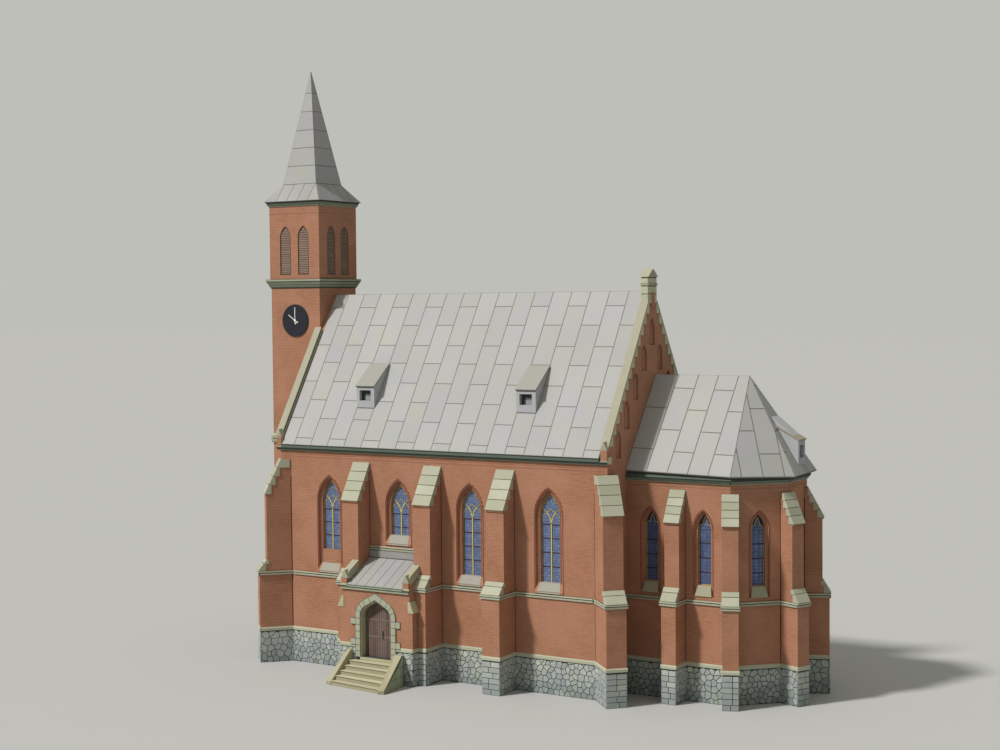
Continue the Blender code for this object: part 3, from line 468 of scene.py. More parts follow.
STRING = 29.2
OVER_PORCH = 39.7
SOUTH_BAYS = ((5, 30, STRING), (36.4, 57.4, OVER_PORCH), (64, 84, STRING), (90.7, 117.5, STRING))
for left, right, low in SOUTH_BAYS:
    string_course(SOUTH_WALL, left, right, low, 0.3)
for left, right in ((5, 31.6), (38.5, 58.5), (65.1, 85.9), (92.7, 117.5)):
    string_course(NORTH_WALL, left, right, STRING, 0.3)
GABLE_WALLS = [*NAVE_WALLS[2:4], *NAVE_WALLS[5:]]
for wall, length in (*GABLE_WALLS, *CHOIR_WALLS):
    string_course(wall, 0, length, STRING, 0.3)
for wall, length in TOWER_WALLS:
    string_course(wall, -0.3, length + 0.3, STRING, 0.05)
for buttress in BUTTRESSES:
    width, back, _, lower = buttress[3:7]
    end, right, left = buttress_sides(buttress, lower)
    string_course(end, -0.45, width + 0.45, STRING, 0.3)
    string_course(right, -0.3, lower + back, STRING, 0.32)
    string_course(left, -back, lower + 0.3, STRING, 0.32)
piece("string_course", pale_edges, pale_stone)
piece("string_course_shadow_lines", string_shadow_lines, shadow_line)

# Corner shade: thin dark brown lines of painted shade stand where the flanks of the buttresses
# meet the walls, from the band to the string course and on up to the cap.
corner_shade_card = toned_card("printed_corner_shade_card", "#4B2C1F", "#66402F", "#55342A", 5.0)
corner_shades = drawing()
for buttress in BUTTRESSES:
    back, upper, lower, foot = buttress[4:8]
    for depth, low, high in ((lower, 11.8, STRING - 0.1), (upper, 30.5, foot + 6)):
        _, right, left = buttress_sides(buttress, depth)
        plate(corner_shades, right, box(depth + back - 0.3, low, depth + back, high), -0.02, 0.03)
        plate(corner_shades, left, box(-back, low, 0.3 - back, high), -0.02, 0.03)
piece("buttress_corner_shades", corner_shades, corner_shade_card)


# Buttress caps: four pale stones lie up each long slope and two on the short one below, with
# thin dark joints. On the flanks their ends are drawn as steps that bite into the brickwork, with
# painted light: the left flank a little lighter than the right, and the top flank stone of a
# corner buttress much lighter.
def slope_place(wall, out, low, depth, rise):
    """Place of a drawing that lies on a slope going up and back from a line on a wall."""
    lean = math.degrees(math.atan2(depth, rise))
    return moved(wall, 0, low, out) @ turned(-lean, "X")


HALF_CAP_JOINT = 0.09


def stone_slope(stones, joints, buttress, out, inner, low, high, parts):
    """Cap stones of one slope with the stepped stones on both flanks. Only the topmost stone of a
    corner buttress runs on over the wall corner."""
    x, y, bearing, width, back = buttress[:5]
    slope = slope_place(on_wall(x, y, bearing), out, low, out - inner, high - low)
    length = math.hypot(out - inner, high - low)
    half = width / 2
    _, right, left = buttress_sides(buttress, out)
    plate(joints, slope, box(-half - 0.1, 0.0, half + 0.1, length - 0.1), -0.05, 0.12, 0.3)
    for first, last in zip(parts, parts[1:]):
        foot = length * first + HALF_CAP_JOINT * (first > 0)
        top = length * last - HALF_CAP_JOINT * (last < 1)
        tone = random.uniform(0.25, 0.9)
        plate(stones, slope, box(-half - 0.16, foot, half + 0.16, top), -0.05, 0.3, tone, 0.06)
        near = out - (out - inner) * first
        far = out - (out - inner) * last
        base = low + (high - low) * first + 0.05
        crown = low + (high - low) * last
        step = [(near, base), (far - 0.6, base), (far - 0.6, crown - 0.05), (far, crown - 0.05)]
        # Painted light: the top flank stone of a corner buttress is much lighter, and each left flank is a
        # little lighter than the right one.
        flank_light_tone = tone
        if far < 0.7 and back > 2:
            flank_light_tone = 1.1
            step = [(near, base), (-2.6, base), (-2.6, crown - 0.05), (0.0, crown - 0.05)]
        elif far < 0.7:
            step = [(near, base), (0.05, base), (0.05, crown - 0.4)]
        plate(stones, left, step, -0.05, 0.16, flank_light_tone + 0.1, 0.04)
        plate(stones, right, [(out - u, v) for u, v in step], -0.05, 0.16, flank_light_tone - 0.1, 0.04)


# Pale stones from greenish grey to cream.
cap_card = toned_card("printed_cap_stone_card", "#9A9C87", "#B8B9A8", "#A3A792", 5.0)
caps = drawing()
cap_joints = drawing()
LONG_CAP = (0, 0.26, 0.51, 0.76, 1)
SHORT_CAP = (0, 0.64, 1)
for buttress in BUTTRESSES:
    upper, lower, foot, top, short_top = buttress[5:]
    stone_slope(caps, cap_joints, buttress, upper + 0.35, 0.0, foot, top, LONG_CAP)
    stone_slope(caps, cap_joints, buttress, lower + 0.25, upper, 30.4, short_top, SHORT_CAP)
piece("buttress_cap_stones", caps, cap_card)
piece("buttress_cap_joints", cap_joints, shadow_line)


# Nave windows: leaded glass is printed blue on a card behind the wall. Two lights end in small
# pointed heads under a trefoil, with gold tracery, dark saddle bars and a pale sloping sill.
def pointed_arch(half, foot, spring, apex, steps=7):
    """Outline of a pointed arch from its left foot over the top to its right foot."""
    rise = apex - spring
    radius = (half * half + rise * rise) / (2 * half)
    sweep = math.atan2(rise, radius - half)
    left = []
    for step in range(steps + 1):
        angle = math.pi - sweep * step / steps
        left.append((radius - half + radius * math.cos(angle), spring + radius * math.sin(angle)))
    right = [(-u, v) for u, v in left[-2::-1]]
    return [(-half, foot), *left, *right, (half, foot)]


def ring(u, v, radius, start=0, end=360, steps=14):
    """Points along a circle or part of one."""
    angles = [math.radians(start + (end - start) * step / steps) for step in range(steps + 1)]
    return [(u + radius * math.cos(angle), v + radius * math.sin(angle)) for angle in angles]


def ribbon(solid, place, line, width, back, front, tone=0.5):
    """Printed line: a thin raised strip that follows a row of points."""
    points = [Vector(point) for point in line]
    for start, end in zip(points, points[1:]):
        step = end - start
        if step.length > 0.01:
            aside = Vector((-step.y, step.x)).normalized() * width / 2
            ahead = step.normalized() * width * 0.3
            first, last = start - ahead, end + ahead
            corners = (first - aside, last - aside, last + aside, first + aside)
            plate(solid, place, [tuple(corner) for corner in corners], back, front, tone)


def leaded(name, first, second, cloud, cell):
    """Printed glass: small lead cells over cloudy blue, lighter in the middle of each cell."""
    made, tree, shader = card(name, 0.45)
    tone = node(tree, "ShaderNodeAttribute", attribute_name="tone").outputs["Fac"]
    colour = overprinted(tree, first, second, tone)
    colour = overprinted(tree, colour, cloud, spots(tree, 3.0))
    place = node(tree, "ShaderNodeTexCoord").outputs["Object"]
    grid = {"Vector": place, "Scale": 1 / (cell * MM), "Randomness": 0.25}
    cells = node(tree, "ShaderNodeTexVoronoi", grid)
    edge = node(tree, "ShaderNodeMapRange", {0: cells.outputs["Distance"], 1: 0.3, 2: 0.62}, clamp=True)
    colour = overprinted(tree, colour, "#39435F", edge.outputs[0], 0.6)
    tree.links.new(colour, shader.inputs["Base Color"])
    return made


# Blue glass, near-black painted shade in the tracery heads and behind the mullions, gold
# tracery, purple-brown saddle bars, red-brown lines round the arches and lilac-grey sills.
glass_card = leaded("printed_leaded_glass_card", "#7089AA", "#8791BA", "#768AB0", 0.85)
tracery_shade_card = toned_card("painted_tracery_shade_card", "#2E2830", "#453B48", "#38323C", 3.0)
gold_card = toned_card("printed_gold_tracery_card", "#B89E48", "#D8CE86", "#C7B667", 3.0)
bar_card = toned_card("printed_saddle_bar_card", "#3A2B3A", "#4A3646", "#40303C", 3.0)
arch_line_card = toned_card("printed_arch_line_card", "#70402F", "#C08B70", "#8A5844", 5.0)
sill_card = toned_card("printed_sill_stone_card", "#96968A", "#B0B0A2", "#9D9A9E", 4.0)
dress(glass_card, "window_card")
nave_panes = drawing()
tracery_shades = drawing()
golds = drawing()
bars = drawing()
arch_lines = drawing()
sills = drawing()
GLASS = -1.86
NAVE_SPRING = 54.4


def arch_edges(middle, foot, spring, edges):
    """Printed lines round an opening: each has its half width, apex, thickness, back, front and tone."""
    for half, apex, width, back, front, tone in edges:
        ribbon(arch_lines, middle, pointed_arch(half, foot, spring, apex), width, back, front, tone)


def nave_window(middle, foot, sill, levels):
    """One nave window from the glass out to the printed lines round its opening."""
    halves = (-3.4, -1.75, 0.1), (-1.75, -0.1, 0.95), (0.1, 1.75, 0.05), (1.75, 3.4, 0.9)
    for left, right, tone in halves:
        plate(nave_panes, middle, box(left, foot, right, 54.5), GLASS, -1.80, tone)
    plate(nave_panes, middle, pointed_arch(3.6, 52.2, NAVE_SPRING, 61.0), GLASS, -1.74, 0.2)
    for side in (-1, 1):
        head = [(side * 1.72 + u, v) for u, v in pointed_arch(1.6, 51.6, 52.6, 54.9)]
        plate(nave_panes, middle, head, GLASS, -1.70, 0.5 + side * 0.2)
        ribbon(golds, middle, head[1:-1], 0.18, -1.72, -1.64, 0.3)
    lobes = ((0, 58.7, 1.3, -30, 210), (-1.4, 56.75, 1.4, 75, 335), (1.4, 56.75, 1.4, -155, 105))
    for u, v, radius, start, end in lobes:
        plate(nave_panes, middle, ring(u, v, radius)[:-1], GLASS, -1.68 + 0.005 * u, 0.4)
        ribbon(golds, middle, ring(u, v, radius, start, end), 0.17, -1.70, -1.62, 0.5)
    plate(nave_panes, middle, box(-0.9, 56.2, 0.9, 58.4), GLASS, -1.665, 0.4)
    ribbon(golds, middle, pointed_arch(3.3, NAVE_SPRING, NAVE_SPRING, 60.5)[1:-1], 0.16, -1.72, -1.66, 0.1)
    # A near-black strip of painted shade lies behind the mullion.
    ribbon(tracery_shades, middle, [(0, foot), (0, 52.2)], 0.6, GLASS, -1.74)
    ribbon(golds, middle, [(0, foot), (0, 52.0)], 0.34, -1.76, -1.64, 0.8)
    for side in (-1, 1):
        ribbon(golds, middle, [(0, 51.8), (side * 0.5, 53.6), (side * 1.5, 55.2)], 0.28, -1.74, -1.62, 0.7)
        ribbon(golds, middle, [(side * 3.3, foot), (side * 3.3, NAVE_SPRING)], 0.2, -1.76, -1.68, 0.15)
    for level in levels:
        ribbon(bars, middle, [(-3.4, level), (-0.3, level)], 0.3, -1.84, -1.72)
        ribbon(bars, middle, [(0.3, level), (3.4, level)], 0.3, -1.84, -1.72)
    slope = slope_place(middle, 0.35, sill + 0.25, 1.27, 2.55)
    plate(sills, slope, [(-3.95, 0), (3.95, 0), (3.5, 2.84), (-3.5, 2.84)], -0.05, 0.1, 0.4, 0.05)
    plate(sills, middle, box(-4.0, sill - 0.25, 4.0, sill + 0.1), 0.0, 0.42, 1.0, 0.04)
    if foot - sill < 3:
        level_run(sills, middle, box(-1.8, foot, -0.9, foot + 0.06), -3.4, 3.4, 0.4)
    on_brick = (4.9, 62.75, 0.32, -0.02, 0.04, 0.05), (5.2, 63.1, 0.18, -0.02, 0.05, 1.0)
    arch_edges(middle, sill + 0.4, NAVE_SPRING, on_brick)
    in_reveal = (3.75, 61.3, 0.24, -0.92, -0.86, 0.1), (4.1, 61.7, 0.2, -0.92, -0.86, 0.8)
    arch_edges(middle, sill + 2.9, NAVE_SPRING, in_reveal)


# Each window: the foot of its glass, its sill and the number of saddle bars.
SADDLE_BARS = (51.4, 47.2, 42.9, 38.6)
FULL_WINDOW = (33.85, 31.0, 4)
OVER_PORCH_WINDOW = (44.65, 41.8, 2)
WINDOWS = ((20.05, (38.3, 31.0, 3)), (47.4, OVER_PORCH_WINDOW), (74.3, FULL_WINDOW), (102.45, FULL_WINDOW))
for x, south_window in WINDOWS:
    north_window = FULL_WINDOW if south_window is OVER_PORCH_WINDOW else south_window
    south_place, north_place = on_wall(x, SOUTH_FACE, 0), on_wall(x, NORTH_FACE, 180)
    for wall, (foot, sill, count) in ((south_place, south_window), (north_place, north_window)):
        nave_window(wall, foot, sill, SADDLE_BARS[:count])

# Choir windows: the same printed glass, darker, in narrower openings, with gold cusps that meet
# in a point under a head of near-black painted shade, and a grey-green sloping sill.
choir_glass_card = leaded("printed_choir_glass_card", "#5F7196", "#6E82AE", "#5A6A90", 1.05)
choir_sill_card = toned_card("printed_green_sill_card", "#94957F", "#AEAF98", "#9C9E88", 4.0)
choir_panes = drawing()
choir_sills = drawing()
CHOIR_SPRING = 51.5


def choir_window(middle):
    """One choir window, drawn about the middle line of its opening."""
    plate(choir_panes, middle, box(-2.2, 34.7, 2.2, 52.5), GLASS, -1.80, random.random())
    plate(tracery_shades, middle, pointed_arch(2.2, 51.4, CHOIR_SPRING, 56.1), GLASS, -1.76)
    keyhole = [(-1.95, 51.3), (-1.85, 52.1), (-1.3, 52.8), (-0.85, 52.6), (-0.7, 53.6), (0, 55.2)]
    keyhole += [(-u, v) for u, v in keyhole[-2::-1]]
    plate(choir_panes, middle, keyhole, GLASS, -1.72, 0.3)
    ribbon(golds, middle, keyhole, 0.14, -1.76, -1.68, 0.2)
    for side in (-1, 1):
        ribbon(golds, middle, [(side * 1.98, 34.8), (side * 1.98, 51.3)], 0.15, -1.82, -1.74, 0.1)
    ribbon(golds, middle, [(-2.0, 34.9), (2.0, 34.9)], 0.16, -1.82, -1.72, 0.3)
    for level in SADDLE_BARS:
        ribbon(bars, middle, [(-2.1, level), (2.1, level)], 0.34, -1.84, -1.74)
    slope = slope_place(middle, 0.15, 31.6, 1.05, 3.2)
    sill = [(-2.7, 0), (2.7, 0), (2.15, 3.3), (-2.15, 3.3)]
    plate(choir_sills, slope, sill, -0.05, 0.1, 0.4, 0.05)
    on_brick = (3.2, 57.3, 0.26, -0.02, 0.04, 0.05), (3.45, 57.6, 0.16, -0.02, 0.05, 1.0)
    arch_edges(middle, 31.6, CHOIR_SPRING, on_brick)
    arch_edges(middle, 34.8, CHOIR_SPRING, [(2.4, 56.5, 0.22, -0.92, -0.86, 0.7)])


WEST_BAY, EAST_BAY = 7.65, 24.85
SIDE_LENGTH = CHOIR_WALLS[0][1]
south_bays = (WEST_BAY, EAST_BAY)
north_bays = (SIDE_LENGTH - EAST_BAY, SIDE_LENGTH - WEST_BAY)
apse_bays = [(length / 2,) for wall, length in CHOIR_WALLS[1:-1]]
for (wall, length), bays in zip(CHOIR_WALLS, (south_bays, *apse_bays, north_bays)):
    for bay in bays:
        choir_window(moved(wall, bay, 0, 0))
piece("nave_glass", nave_panes, glass_card)
piece("choir_glass", choir_panes, choir_glass_card)
piece("window_heads", tracery_shades, tracery_shade_card)
piece("window_tracery", golds, gold_card)
piece("window_saddle_bars", bars, bar_card)

# Friezes: faint lines are printed on the brickwork below the eaves and near the belfry's top, in
# the red-brown of the arch lines.
TOWER_MIDDLE = -10.55
BEARINGS = (0, 90, 180, 270)
TOWER_FACES = [on_wall(TOWER_MIDDLE, 0, bearing) for bearing in BEARINGS]
OPEN_FACES = [TOWER_FACES[0], *TOWER_FACES[2:]]
for level in (68.5, 69.4):
    for wall in (SOUTH_WALL, NORTH_WALL):
        ribbon(arch_lines, wall, [(1, level), (121.5, level)], 0.22, -0.02, 0.02, 0.55)
for wall, length in CHOIR_WALLS:
    ribbon(arch_lines, wall, [(0, 63.7), (length, 63.7)], 0.22, -0.02, 0.02, 0.55)
for face in TOWER_FACES:
    ribbon(arch_lines, face, [(-10.7, 150.2), (10.7, 150.2)], 0.25, 10.75, 10.79, 0.5)
piece("window_arch_lines", arch_lines, arch_line_card)
piece("nave_window_sills", sills, sill_card)
piece("choir_window_sills", choir_sills, choir_sill_card)

# Cornices: folded strips under the eaves and round the tower, printed grey-green with paler and
# near-black mouldings; the near-black strips at the top of each cornice are painted shadow under
# the eaves and bands. Each moulding is a thin strip glued along the slanting face of the folded
# card. The string round the tower is pale stone.
cornice_card = toned_card("printed_cornice_card", "#525E56", "#687468", "#58635A", 6.0)
dress(cornice_card, "cornice_card")
dress(pale_stone, "cornice_card", "tower_string")
moulding_card = toned_card("printed_moulding_card", "#6C7866", "#A9AF98", "#7F8A76", 5.0)
cornice_dark_and_shadow_card = toned_card("printed_dark_and_shadow_moulding_card", "#252B26", "#424C45", "#2F3630", 5.0)
mouldings = drawing()
dark_and_shadow_mouldings = drawing()
fascias = drawing()


def moulded(place, left, right, foot, top, strips):
    """Strips on a slanting cornice face between its foot and top edge, given as (outward, height).
    Each strip has its start, its end and a tone, which is negative for a near-black strip of dark print
    and painted shadow."""
    (out_foot, low), (out_top, high) = foot, top
    slope = slope_place(place, out_foot, low, out_foot - out_top, high - low)
    length = math.hypot(out_top - out_foot, high - low)
    for start, end, tone in strips:
        strip = mouldings if tone >= 0 else dark_and_shadow_mouldings
        spread = (out_top - out_foot) * (start + end) / 2
        flat = box(left - spread * (left < 0), start * length, right + spread * (left < 0), end * length)
        plate(strip, slope, flat, -0.03, 0.07 if tone >= 0 else 0.09, abs(tone))


# The top strip is near-black painted shadow under the eave.
EAVE_STRIPS = ((0.0, 0.22, 0.15), (0.84, 1.0, -0.4))
moulded(SOUTH_WALL, -0.9, 122.6, (0.5, 70.5), (0.95, 71.25), EAVE_STRIPS)
moulded(NORTH_WALL, -0.1, 123.4, (0.5, 70.5), (0.95, 71.25), EAVE_STRIPS)
SOUTH_EAVE, NORTH_EAVE = -33.9, 29.1
ROOF_WEST, ROOF_EAST = 1.3, 120.15
EAVES = (
    (on_wall(0, SOUTH_EAVE, 0), ROOF_WEST, ROOF_EAST),
    (on_wall(EAST_FACE, NORTH_EAVE, 180), EAST_FACE - ROOF_EAST, EAST_FACE - ROOF_WEST))
for eave, left, right in EAVES:
    plate(fascias, eave, box(left, 71.36, right, 72.1), -0.02, 0.06)
    # A near-black strip of painted shadow under the roof edge.
    plate(dark_and_shadow_mouldings, eave, box(left, 72.1, right, 72.42), -0.02, 0.06, 0.3)
porch_eave = on_wall(0, -46.1, 0)
plate(mouldings, porch_eave, box(36.35, 29.62, 57.55, 29.95), -0.02, 0.08, 0.9)
plate(fascias, porch_eave, box(36.35, 29.95, 57.55, 30.2), -0.02, 0.08)
plate(mouldings, on_wall(0, -45.75, 0), box(34.0, 28.78, 59.9, 29.2), 0.0, 0.34, 1.0)
# The top strip is near-black painted shadow under the eave.
CHOIR_STRIPS = ((0.0, 0.14, 0.95), (0.3, 0.42, 0.4), (0.58, 0.7, 0.5), (0.9, 1.0, -0.3))
for wall, length in CHOIR_WALLS:
    moulded(wall, 0, length, (0.35, 65.0), (1.25, 66.3), CHOIR_STRIPS)
# The top strips of the shaft and belfry cornices are near-black painted shadow.
SHAFT_STRIPS = ((0, 0.12, -0.9), (0.14, 0.46, 0.3), (0.52, 0.86, 0.5), (0.88, 1.0, -0.6))
BELFRY_STRIPS = ((0, 0.2, 0.7), (0.28, 0.7, 0.2), (0.84, 1.0, -0.7))
STRING_STRIPS = ((0.05, 0.42, 1.0), (0.42, 0.58, -0.9), (0.58, 0.95, 1.0))
for face in TOWER_FACES:
    moulded(face, -10.6, 10.6, (10.6, 124.45), (11.87, 126.9), SHAFT_STRIPS)
    moulded(face, -11.87, 11.87, (11.87, 126.7), (11.87, 127.5), ((0.1, 0.85, 0.95),))
    moulded(face, -10.9, 10.9, (10.9, 152.75), (11.7, 154.35), BELFRY_STRIPS)
for face in OPEN_FACES:
    moulded(face, -10.5, 10.4, (11.08, 70.9), (11.08, 72.9), STRING_STRIPS)
piece("cornice_mouldings", mouldings, moulding_card)
piece("cornice_dark_and_shadow_mouldings", dark_and_shadow_mouldings, cornice_dark_and_shadow_card)
piece("roof_edge_fascias", fascias, cornice_card)


# Roofs: the slopes are printed as grey sheets with staggered seams and faint lilac and yellow
# stains. Every sheet is a thin plate over the darker card, so the seams are the gaps between
# the plates.
seam_card = toned_card("printed_roof_seam_card", "#77776F", "#83837B", "#7C7C75", 8.0)
dress(seam_card, "roof_card")
sheet_card, tree, shader = card("printed_roof_sheet_card", 0.7)
tone = node(tree, "ShaderNodeAttribute", attribute_name="tone").outputs["Fac"]
sheet_colour = overprinted(tree, "#878889", "#AAABAC", tone)
STAINS = ((11.0, "#A5A1B4", 0.35), (7.5, "#A9AB96", 0.3), (19.0, "#999F9F", 0.3))
for size, stain, strength in STAINS:
    sheet_colour = overprinted(tree, sheet_colour, stain, spots(tree, size, 3.0), strength)
printed(tree, shader, sheet_colour, spots(tree, PAPER_GRAIN, 3.0), 0.005)
sheets = drawing()


def clad(corners, seams, joints, gap=0.17, tones=(0.7, 1)):
    """Covers a roof face with sheets; its corners start with the eave's left and right ends. Each
    column of sheets between two seams has its own joints, and the tones give the range of grey."""
    points = [spot(*corner) for corner in corners]
    place = laid(corners[0], points[1] - points[0], points[-1] - points[0])
    outline = [(place.inverted() @ point).to_2d() for point in points]
    edges = []
    for start, end in zip(outline, [*outline[1:], outline[0]]):
        step = (end - start).normalized()
        outward = Vector((step.y, -step.x))
        edges.append((start - outward * 0.12, outward))
    right_end = max(point.x for point in outline)
    left_end = min(point.x for point in outline)
    top = max(point.y for point in outline)
    across = [left_end, *seams, right_end]
    for column, (left, right) in enumerate(zip(across, across[1:])):
        up = [0, *joints[column % len(joints)], top]
        for low, high in zip(up, up[1:]):
            sheet = trimmed(box(left + gap, low + gap, right - gap, high - gap), edges)
            if sheet:
                plate(sheets, place, sheet, -0.04, 0.06, random.uniform(*tones))


RIDGE_LINE = -2.4
EVEN_JOINTS = (10.1, 24.2, 38.4, 53.3)
ODD_JOINTS = (2.7, 17.1, 31.6, 46.2)
NAVE_SEAMS = [5.2 + 6.765 * count for count in range(17)]
JOINTS = (EVEN_JOINTS, ODD_JOINTS)
for y, left, right in ((SOUTH_EAVE, ROOF_WEST, ROOF_EAST), (NORTH_EAVE, ROOF_EAST, ROOF_WEST)):
    slope = ((left, y, 72.4), (right, y, 72.4), (right, RIDGE_LINE, 122), (left, RIDGE_LINE, 122))
    clad(slope, NAVE_SEAMS, JOINTS, 0.14)
CHOIR_EAVE = (
    (122.55, -21.2, 67.994), (156.713, -21.65, 67.4), (171.2, -7.4, 66.9), (171.5, 9.5, 67.4),
    (156.713, 21.65, 67.4), (122.55, 21.2, 67.994))
APEX = (153.9, 0, 96)
CHOIR_RIDGE_END = (122.55, 0, 96)
CHOIR_JOINTS = ((8.0, 22.9), (15.1, 30.3), (7.5, 22.5), (14.9, 30.1), (7.4, 22.6))
clad((*CHOIR_EAVE[:2], APEX, CHOIR_RIDGE_END), (6.95, 13.85, 20.45, 27.05), CHOIR_JOINTS)
clad((*CHOIR_EAVE[4:], CHOIR_RIDGE_END, APEX), (7.1, 13.7, 20.3, 27.2), CHOIR_JOINTS[::-1])
for start, end in zip(CHOIR_EAVE[1:4], CHOIR_EAVE[2:5]):
    clad((start, end, APEX), (3.6, 10.3, 17.0), CHOIR_JOINTS)
SPIRE_FOOT = 160.55
SPIRE_TOP = 200
SPIRE_JOINTS = (166.9, 173.2, 179.4, 186.0, 192.5)


def tower_corner(bearing, half, height, side):
    """Corner of a square round the tower's axis, at one side of the face with this bearing."""
    angle = math.radians(bearing)
    along_face = Vector((math.cos(angle), math.sin(angle), 0))
    outward = Vector((math.sin(angle), -math.cos(angle), 0))
    return tuple(Vector((TOWER_MIDDLE, 0, height)) + outward * half + along_face * half * side)


for bearing in BEARINGS:
    eave = [tower_corner(bearing, 12.16, 154.4, side) for side in (-1, 1)]
    bend = [tower_corner(bearing, 7.24, SPIRE_FOOT, side) for side in (1, -1)]
    tip = [tower_corner(bearing, 0.12, SPIRE_TOP, side) for side in (1, -1)]
    clad((*eave, *bend), (5.5, 10.0, 14.5, 19.1), ((),), 0.12, (0.15, 0.4))
    up_slope = math.hypot(SPIRE_TOP - SPIRE_FOOT, 7.24) / (SPIRE_TOP - SPIRE_FOOT)
    rows = [(height - SPIRE_FOOT) * up_slope for height in SPIRE_JOINTS]
    clad((bend[1], bend[0], *tip), (), (rows,), 0.12)
PORCH_SEAMS = (3.55, 7.05, 10.55, 14.0, 17.35)
PORCH_EAVE = ((36.35, -46.1, 30.2), (57.55, -46.1, 30.2))
clad((*PORCH_EAVE, (57.55, -33.45, 37.1), (36.35, -33.45, 37.1)), PORCH_SEAMS, ((),), 0.12, (0.05, 0.3))
piece("roof_sheets", sheets, sheet_card)

# Clocks: near-black discs with two white paper hands that show ten o'clock. Each hand has a
# short tail with a round end, and a small disc covers their pivot.
dial_card = toned_card("near_black_dial_card", "#262932", "#353945", "#2C303B", 3.0)
hand_card = toned_card("white_paper_hand", "#E6E6E2", "#F2F2EE", "#EAEAE6", 3.0)
dress(dial_card, "clock_card")
hands = drawing()
for face in OPEN_FACES:
    dial = moved(face, 0, 113.2, 10.88)
    ribbon(hands, dial, [(0, -0.7), (0, 4.5)], 0.24, 0.0, 0.12, 0.8)
    ribbon(hands, dial, [(0.8, -0.55), (-2.7, 1.85)], 0.26, 0.0, 0.1, 0.6)
    plate(hands, dial, ring(0, 0, 0.45, 0, 360, 10)[:-1], 0.0, 0.16, 0.7)
    plate(hands, dial, ring(0.25, -1.0, 0.3, 0, 360, 8)[:-1], 0.0, 0.14, 0.7)
    plate(hands, dial, ring(1.05, -0.6, 0.28, 0, 360, 8)[:-1], 0.0, 0.14, 0.7)
piece("clock_hands", hands, hand_card)

# Louvres: sloping brown boards fill the paired belfry openings in front of a dark liner.
louvre_liner_card = toned_card("printed_louvre_shadow_card", "#4A3D35", "#57493F", "#50433A", 4.0)
louvre_card = toned_card("printed_louvre_board_card", "#85706A", "#978079", "#7F7560", 3.0)
dress(louvre_liner_card, "louvre_card")
boards = drawing()
louvre_backs = drawing()
BOARDS = 26
BOARD_PITCH = 0.62
for face in TOWER_FACES:
    for middle in (-3.9, 3.9):
        opening = [(middle + u, v) for u, v in pointed_arch(2.1, 129.2, 142.0, 145.8)]
        plate(louvre_backs, face, opening, 10.24, 10.32)
        for count in range(BOARDS):
            low = 129.4 + BOARD_PITCH * count
            half = 1.95
            if low > 141.8:
                half = max((abs(u - middle) for u, v in opening if v > low + 0.2), default=0) - 0.15
            if half > 0.2:
                board = [(10.3, low + 0.32), (10.52, low), (10.52, low + 0.22), (10.3, low + 0.52)]
                level_run(boards, face, board, middle - half, middle + half, random.uniform(0, 1))
piece("louvre_backs", louvre_backs, louvre_liner_card)
piece("louvre_boards", boards, louvre_card)

# Gable copings: cream stones on the raised gable edges, with paler stepped teeth drawn below them
# and a corbel at each foot. The block under each gabled cap is covered with brick, a brick strip
# runs up the foot of the finial, and a dark strip is drawn beside the roof at the west gable.
coping_card = toned_card("printed_coping_card", "#A19F8C", "#B2B09F", "#A8A895", 5.0)
tooth_card = toned_card("printed_coping_tooth_card", "#ABAE94", "#C2C3AC", "#B2B69C", 4.0)
dress(coping_card, "stone_card")
teeth = drawing()
kneelers = drawing()
edge_shades = drawing()
TEETH = 14
TOOTH = 3.25
COPING_FOOT = 31.5
COPING_RISE = 49.6
COPING_PEAK = 122.85


def gable_line(height):
    """How far from the ridge line the underside of a coping is at a height."""
    return COPING_FOOT * (COPING_PEAK - height) / COPING_RISE


for x, bearing, nearest in ((EAST_FACE, 90, (0.0, 0.0)), (0.0, -90, (13.3, 8.5))):
    gable = on_wall(x, RIDGE_LINE, bearing)
    for side, clear in zip((-1, 1), nearest):
        for count in range(TEETH):
            low = 75.8 + TOOTH * count
            outer, inner = gable_line(low + 0.12), gable_line(low + TOOTH) - 0.5
            if inner > clear + 0.3:
                step = [(outer, low + 0.12), (inner, low + 0.12), (inner, low + TOOTH - 0.06)]
                step = [(side * u, v) for u, v in (*step, (inner + 0.5, low + TOOTH))]
                plate(teeth, gable, step, -0.02, 0.36, random.random(), 0.05)
        left, right = sorted((side * 31.0, side * 28.4))
        plate(teeth, gable, box(left, 70.7, right, 72.8), -0.02, 0.4, 0.9, 0.08)
        block_end = [(30.72, 72.75), (31.5, 71.7), (31.5, 74.85), (30.72, 74.85)]
        beyond = 0.45 if bearing == 90 else 0.75
        plate(kneelers, moved(gable, 0, 0, beyond), [(side * u, v) for u, v in block_end], -0.02, 0.07)
for left, right in ((120.85, 122.9), (-0.7, 1.15)):
    plate(kneelers, on_wall(0, -33.95, 0), box(left, 71.9, right, 74.85), -0.02, 0.07)
    plate(kneelers, on_wall(0, 29.15, 180), box(-right, 71.9, -left, 74.85), -0.02, 0.07)
for side, nearest in ((-1, 8.3), (1, 13.1)):
    slant = COPING_RISE / COPING_FOOT
    low, high = (Vector((0.62, RIDGE_LINE + side * u, COPING_PEAK - slant * u)) for u in (30.5, nearest))
    top_face = laid(tuple(low), (1, 0, 0), tuple(high - low))
    plate(edge_shades, top_face, box(0.0, 0.0, 0.66, (high - low).length), -0.03, 0.04)
plate(kneelers, on_wall(EAST_FACE, RIDGE_LINE, 90), box(-1.15, 116.9, 1.15, 121.4), 0.0, 0.4)
piece("gable_coping_teeth", teeth, tooth_card)
piece("gable_kneeler_bricks", kneelers, brick_card)
piece("west_parapet_shade", edge_shades, shadow_line)

